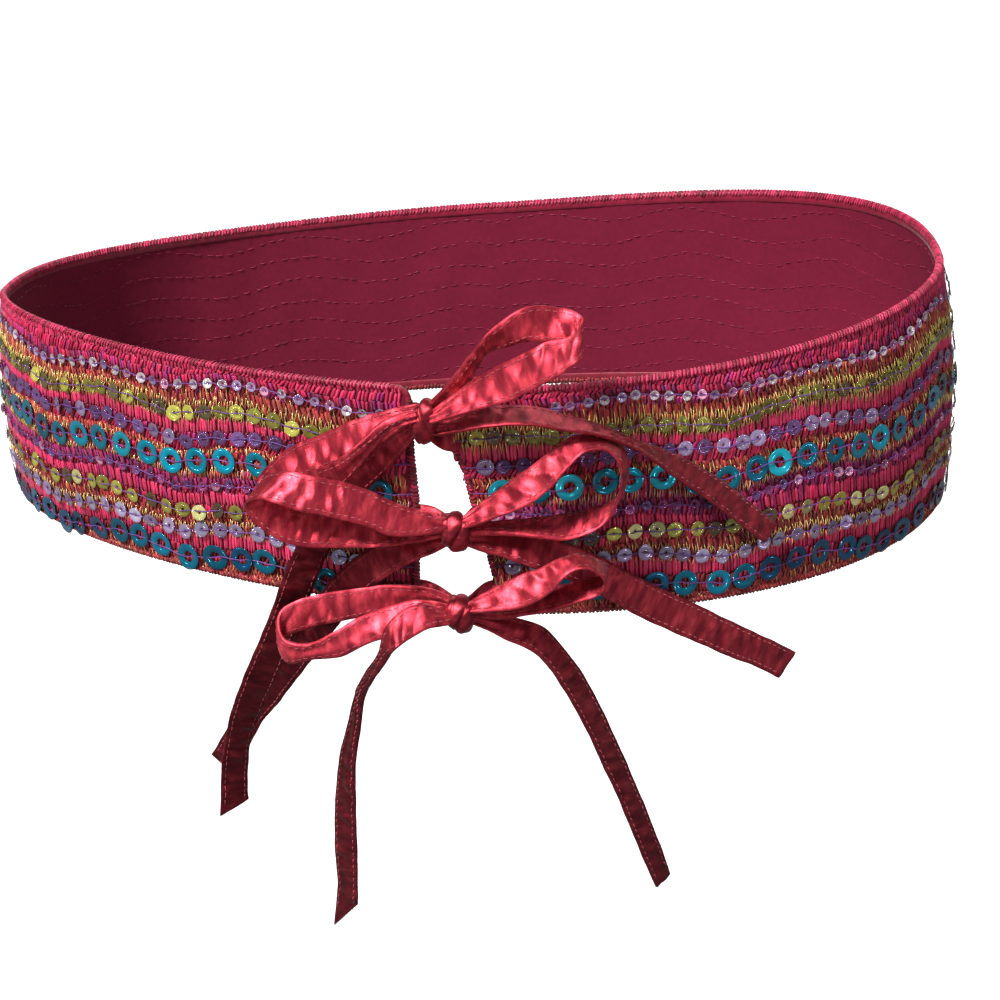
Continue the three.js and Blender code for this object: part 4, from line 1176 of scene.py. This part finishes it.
def fray_on(ribbon):
    share = np.linspace(-0.97, 0.97, FRAY_COUNT) + rng.normal(0, 0.02, FRAY_COUNT)
    base = ribbon.surface(share[None, :], np.zeros((1, 1)))[-1]
    along, across, normal = ribbon.along[-1], ribbon.across[-1], ribbon.normal[-1]
    reach = rng.uniform(0.3, 1.1, FRAY_COUNT)
    bend = rng.normal(0, 0.35, (2, FRAY_COUNT))
    steps = FRAY_PATH["along"]
    curl = np.maximum(steps, 0) ** 2
    path = base[:, None] + (reach[:, None] * steps)[..., None] * along
    path = path + (bend[0][:, None] * curl)[..., None] * across
    path = path + (bend[1][:, None] * curl)[..., None] * normal
    rings = []
    for angle in np.arange(RIDGE_SIDES) * TURN / RIDGE_SIDES:
        offset = FRAY_WIDTH / 2 * (math.cos(angle) * across + math.sin(angle) * normal)
        rings.append(path + offset * FRAY_PATH["taper"][None, :, None])
    return np.stack(rings, 2).reshape(-1, 3)


def make_fray(ribbons):
    pieces = [fray_on(ribbon) for ribbon in ribbons if "tail" in ribbon.name]
    stations = len(FRAY_PATH["along"])
    return make_silk_strands("tie_frayed_ends", pieces, stations, FRAY_COLOUR, (0.6, 1.2))


# Knots: the tie wrapped round the bow's middle, with slanting folds over the top
KNOT_AROUND = 64
KNOT_ALONG = 37
KNOT_TAPER = 0.2
KNOT_END = 0.3
KNOT_CREASES = (
    {"at": 0.12, "slope": 0.62, "deep": 1.0, "wide": 0.17},
    {"at": -0.55, "slope": 0.2, "deep": 0.45, "wide": 0.12},
)


def make_knot(place):
    knot = dict(zip(KNOT_COLUMNS, KNOTS[place]))
    middle_y = face_y(knot["x"], knot["z"]) - knot["out"]
    u = np.linspace(-1, 1, KNOT_ALONG)[:, None]
    angle = (np.arange(KNOT_AROUND) / KNOT_AROUND * TURN)[None, :]
    phase = rng.uniform(0, TURN, 3)
    swell = 1 - KNOT_TAPER * u ** 2
    round_end = np.sqrt(np.clip(1 - np.abs(u) ** 6, 0, 1)) * (1 - KNOT_END) + KNOT_END
    fold = 0.25 * np.sin(2 * angle + 2 * u + phase[2]) + 0.14 * np.sin(5 * angle - 4 * u)
    way = math.copysign(1, -knot["skew"])
    for crease in KNOT_CREASES:
        line = crease["at"] + way * crease["slope"] * np.sin(angle) + 0.08 * np.sin(2 * angle + phase[1])
        fold = fold - crease["deep"] * np.exp(-np.abs((u - line) / crease["wide"]) ** 1.3)
    deep, tall = ((knot[size] / 2 * swell + fold) * round_end for size in ("deep", "tall"))
    x = knot["x"] + u * knot["long"] / 2 + 0 * angle
    y = middle_y - deep * np.cos(angle)
    z = knot["z"] + knot["skew"] * u + tall * np.sin(angle)
    points = np.stack([x, y, z], -1)
    uvs = np.stack(np.broadcast_arrays(angle * 6, u * 5), -1)
    # The knots' tint is a painted shade, a little darker than plain satin.
    tints = np.full((points[..., 0].size, 3), KNOT_PAINTED_SHADE)
    return make_strands(place + "_knot_satin", points, KNOT_ALONG, KNOT_AROUND, tie_satin, tints, uvs)


# The stage
make_camera()
make_lights()
FLOOR_Z = -1200.0
FLOOR_HALF = 400000.0
FLOOR_COLOUR = (0.86, 0.86, 0.87, 1)
pale = Shader("pale_floor")
pale.feed(pale.surface, {"Base Color": FLOOR_COLOUR, "Roughness": 0.9})
corners = [(-1, -1), (1, -1), (1, 1), (-1, 1)]
floor_points = [(x * FLOOR_HALF, y * FLOOR_HALF, FLOOR_Z) for x, y in corners]
floor = make_mesh("floor", floor_points, [(0, 1, 2), (0, 2, 3)], pale.material, smooth=False)
floor.visible_diffuse = False
floor.visible_glossy = False

# The band. Its silk stitches are shared out over three pieces.
cloth = make_base_cloth()
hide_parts("band")
band_pieces = []
third = len(SILK_BANDS) // 3
for part, rows in (
    ("upper", SILK_BANDS[:third]),
    ("middle", SILK_BANDS[third:2 * third]),
    ("lower", SILK_BANDS[2 * third:]),
):
    strands = stitch_strands(rows, STITCH_WIDTH, SILK_PATH)
    band_pieces.append(make_strands(f"band_stitches_{part}", material=floss, **strands))
for part, rows, settings in (
    ("spikes", SPIKE_BANDS, {"zigzag": True, "uneven": 0.08}),
    ("edge", LONG_SPIKE_BANDS, {"zigzag": True, "reach": LONG_SPIKE_REACH}),
    ("flecks", FLECK_BANDS, {"uneven": 0.14}),
):
    strands = stitch_strands(rows, METAL_WIDTH, METAL_PATH, **settings)
    band_pieces.append(make_strands(f"band_gold_{part}", material=metal_thread, **strands))
around_stations = int(RING / HEM_STEP)
band_pieces += [
    make_sequins("sequin_discs", DISC_ROWS, DISC_SIDES, disc_plastic),
    make_sequins("sequin_rings", RING_ROWS, RING_SIDES, ring_plastic),
    make_threads(),
    make_hem("hem_top", top_edge, TOP_RUN, around_stations, TOP_HEM),
    make_hem("hem_bottom", bottom_edge, BOTTOM_RUN, around_stations, BOTTOM_HEM),
    make_wraps(),
    make_reverse(),
    make_hem("hem_right_front", rounded(right_edge), FRONT_RUN, EDGE_STATIONS, FRONT_HEM),
    make_hem("hem_left_front", rounded(left_edge), FRONT_RUN, EDGE_STATIONS, FRONT_HEM),
]
for piece in [cloth] + band_pieces:
    finish_piece(piece)

# The ties
ribbons = [Ribbon(name) for name in TIES]
for piece in (make_dashes(ribbons), make_fray(ribbons)):
    finish_piece(piece)
for ribbon in ribbons:
    tie = make_tie(ribbon)
    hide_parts(ribbon.name)
    finish_piece(tie)
for place in KNOTS:
    knot = make_knot(place)
    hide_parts(place + "_knot")
    finish_piece(knot)
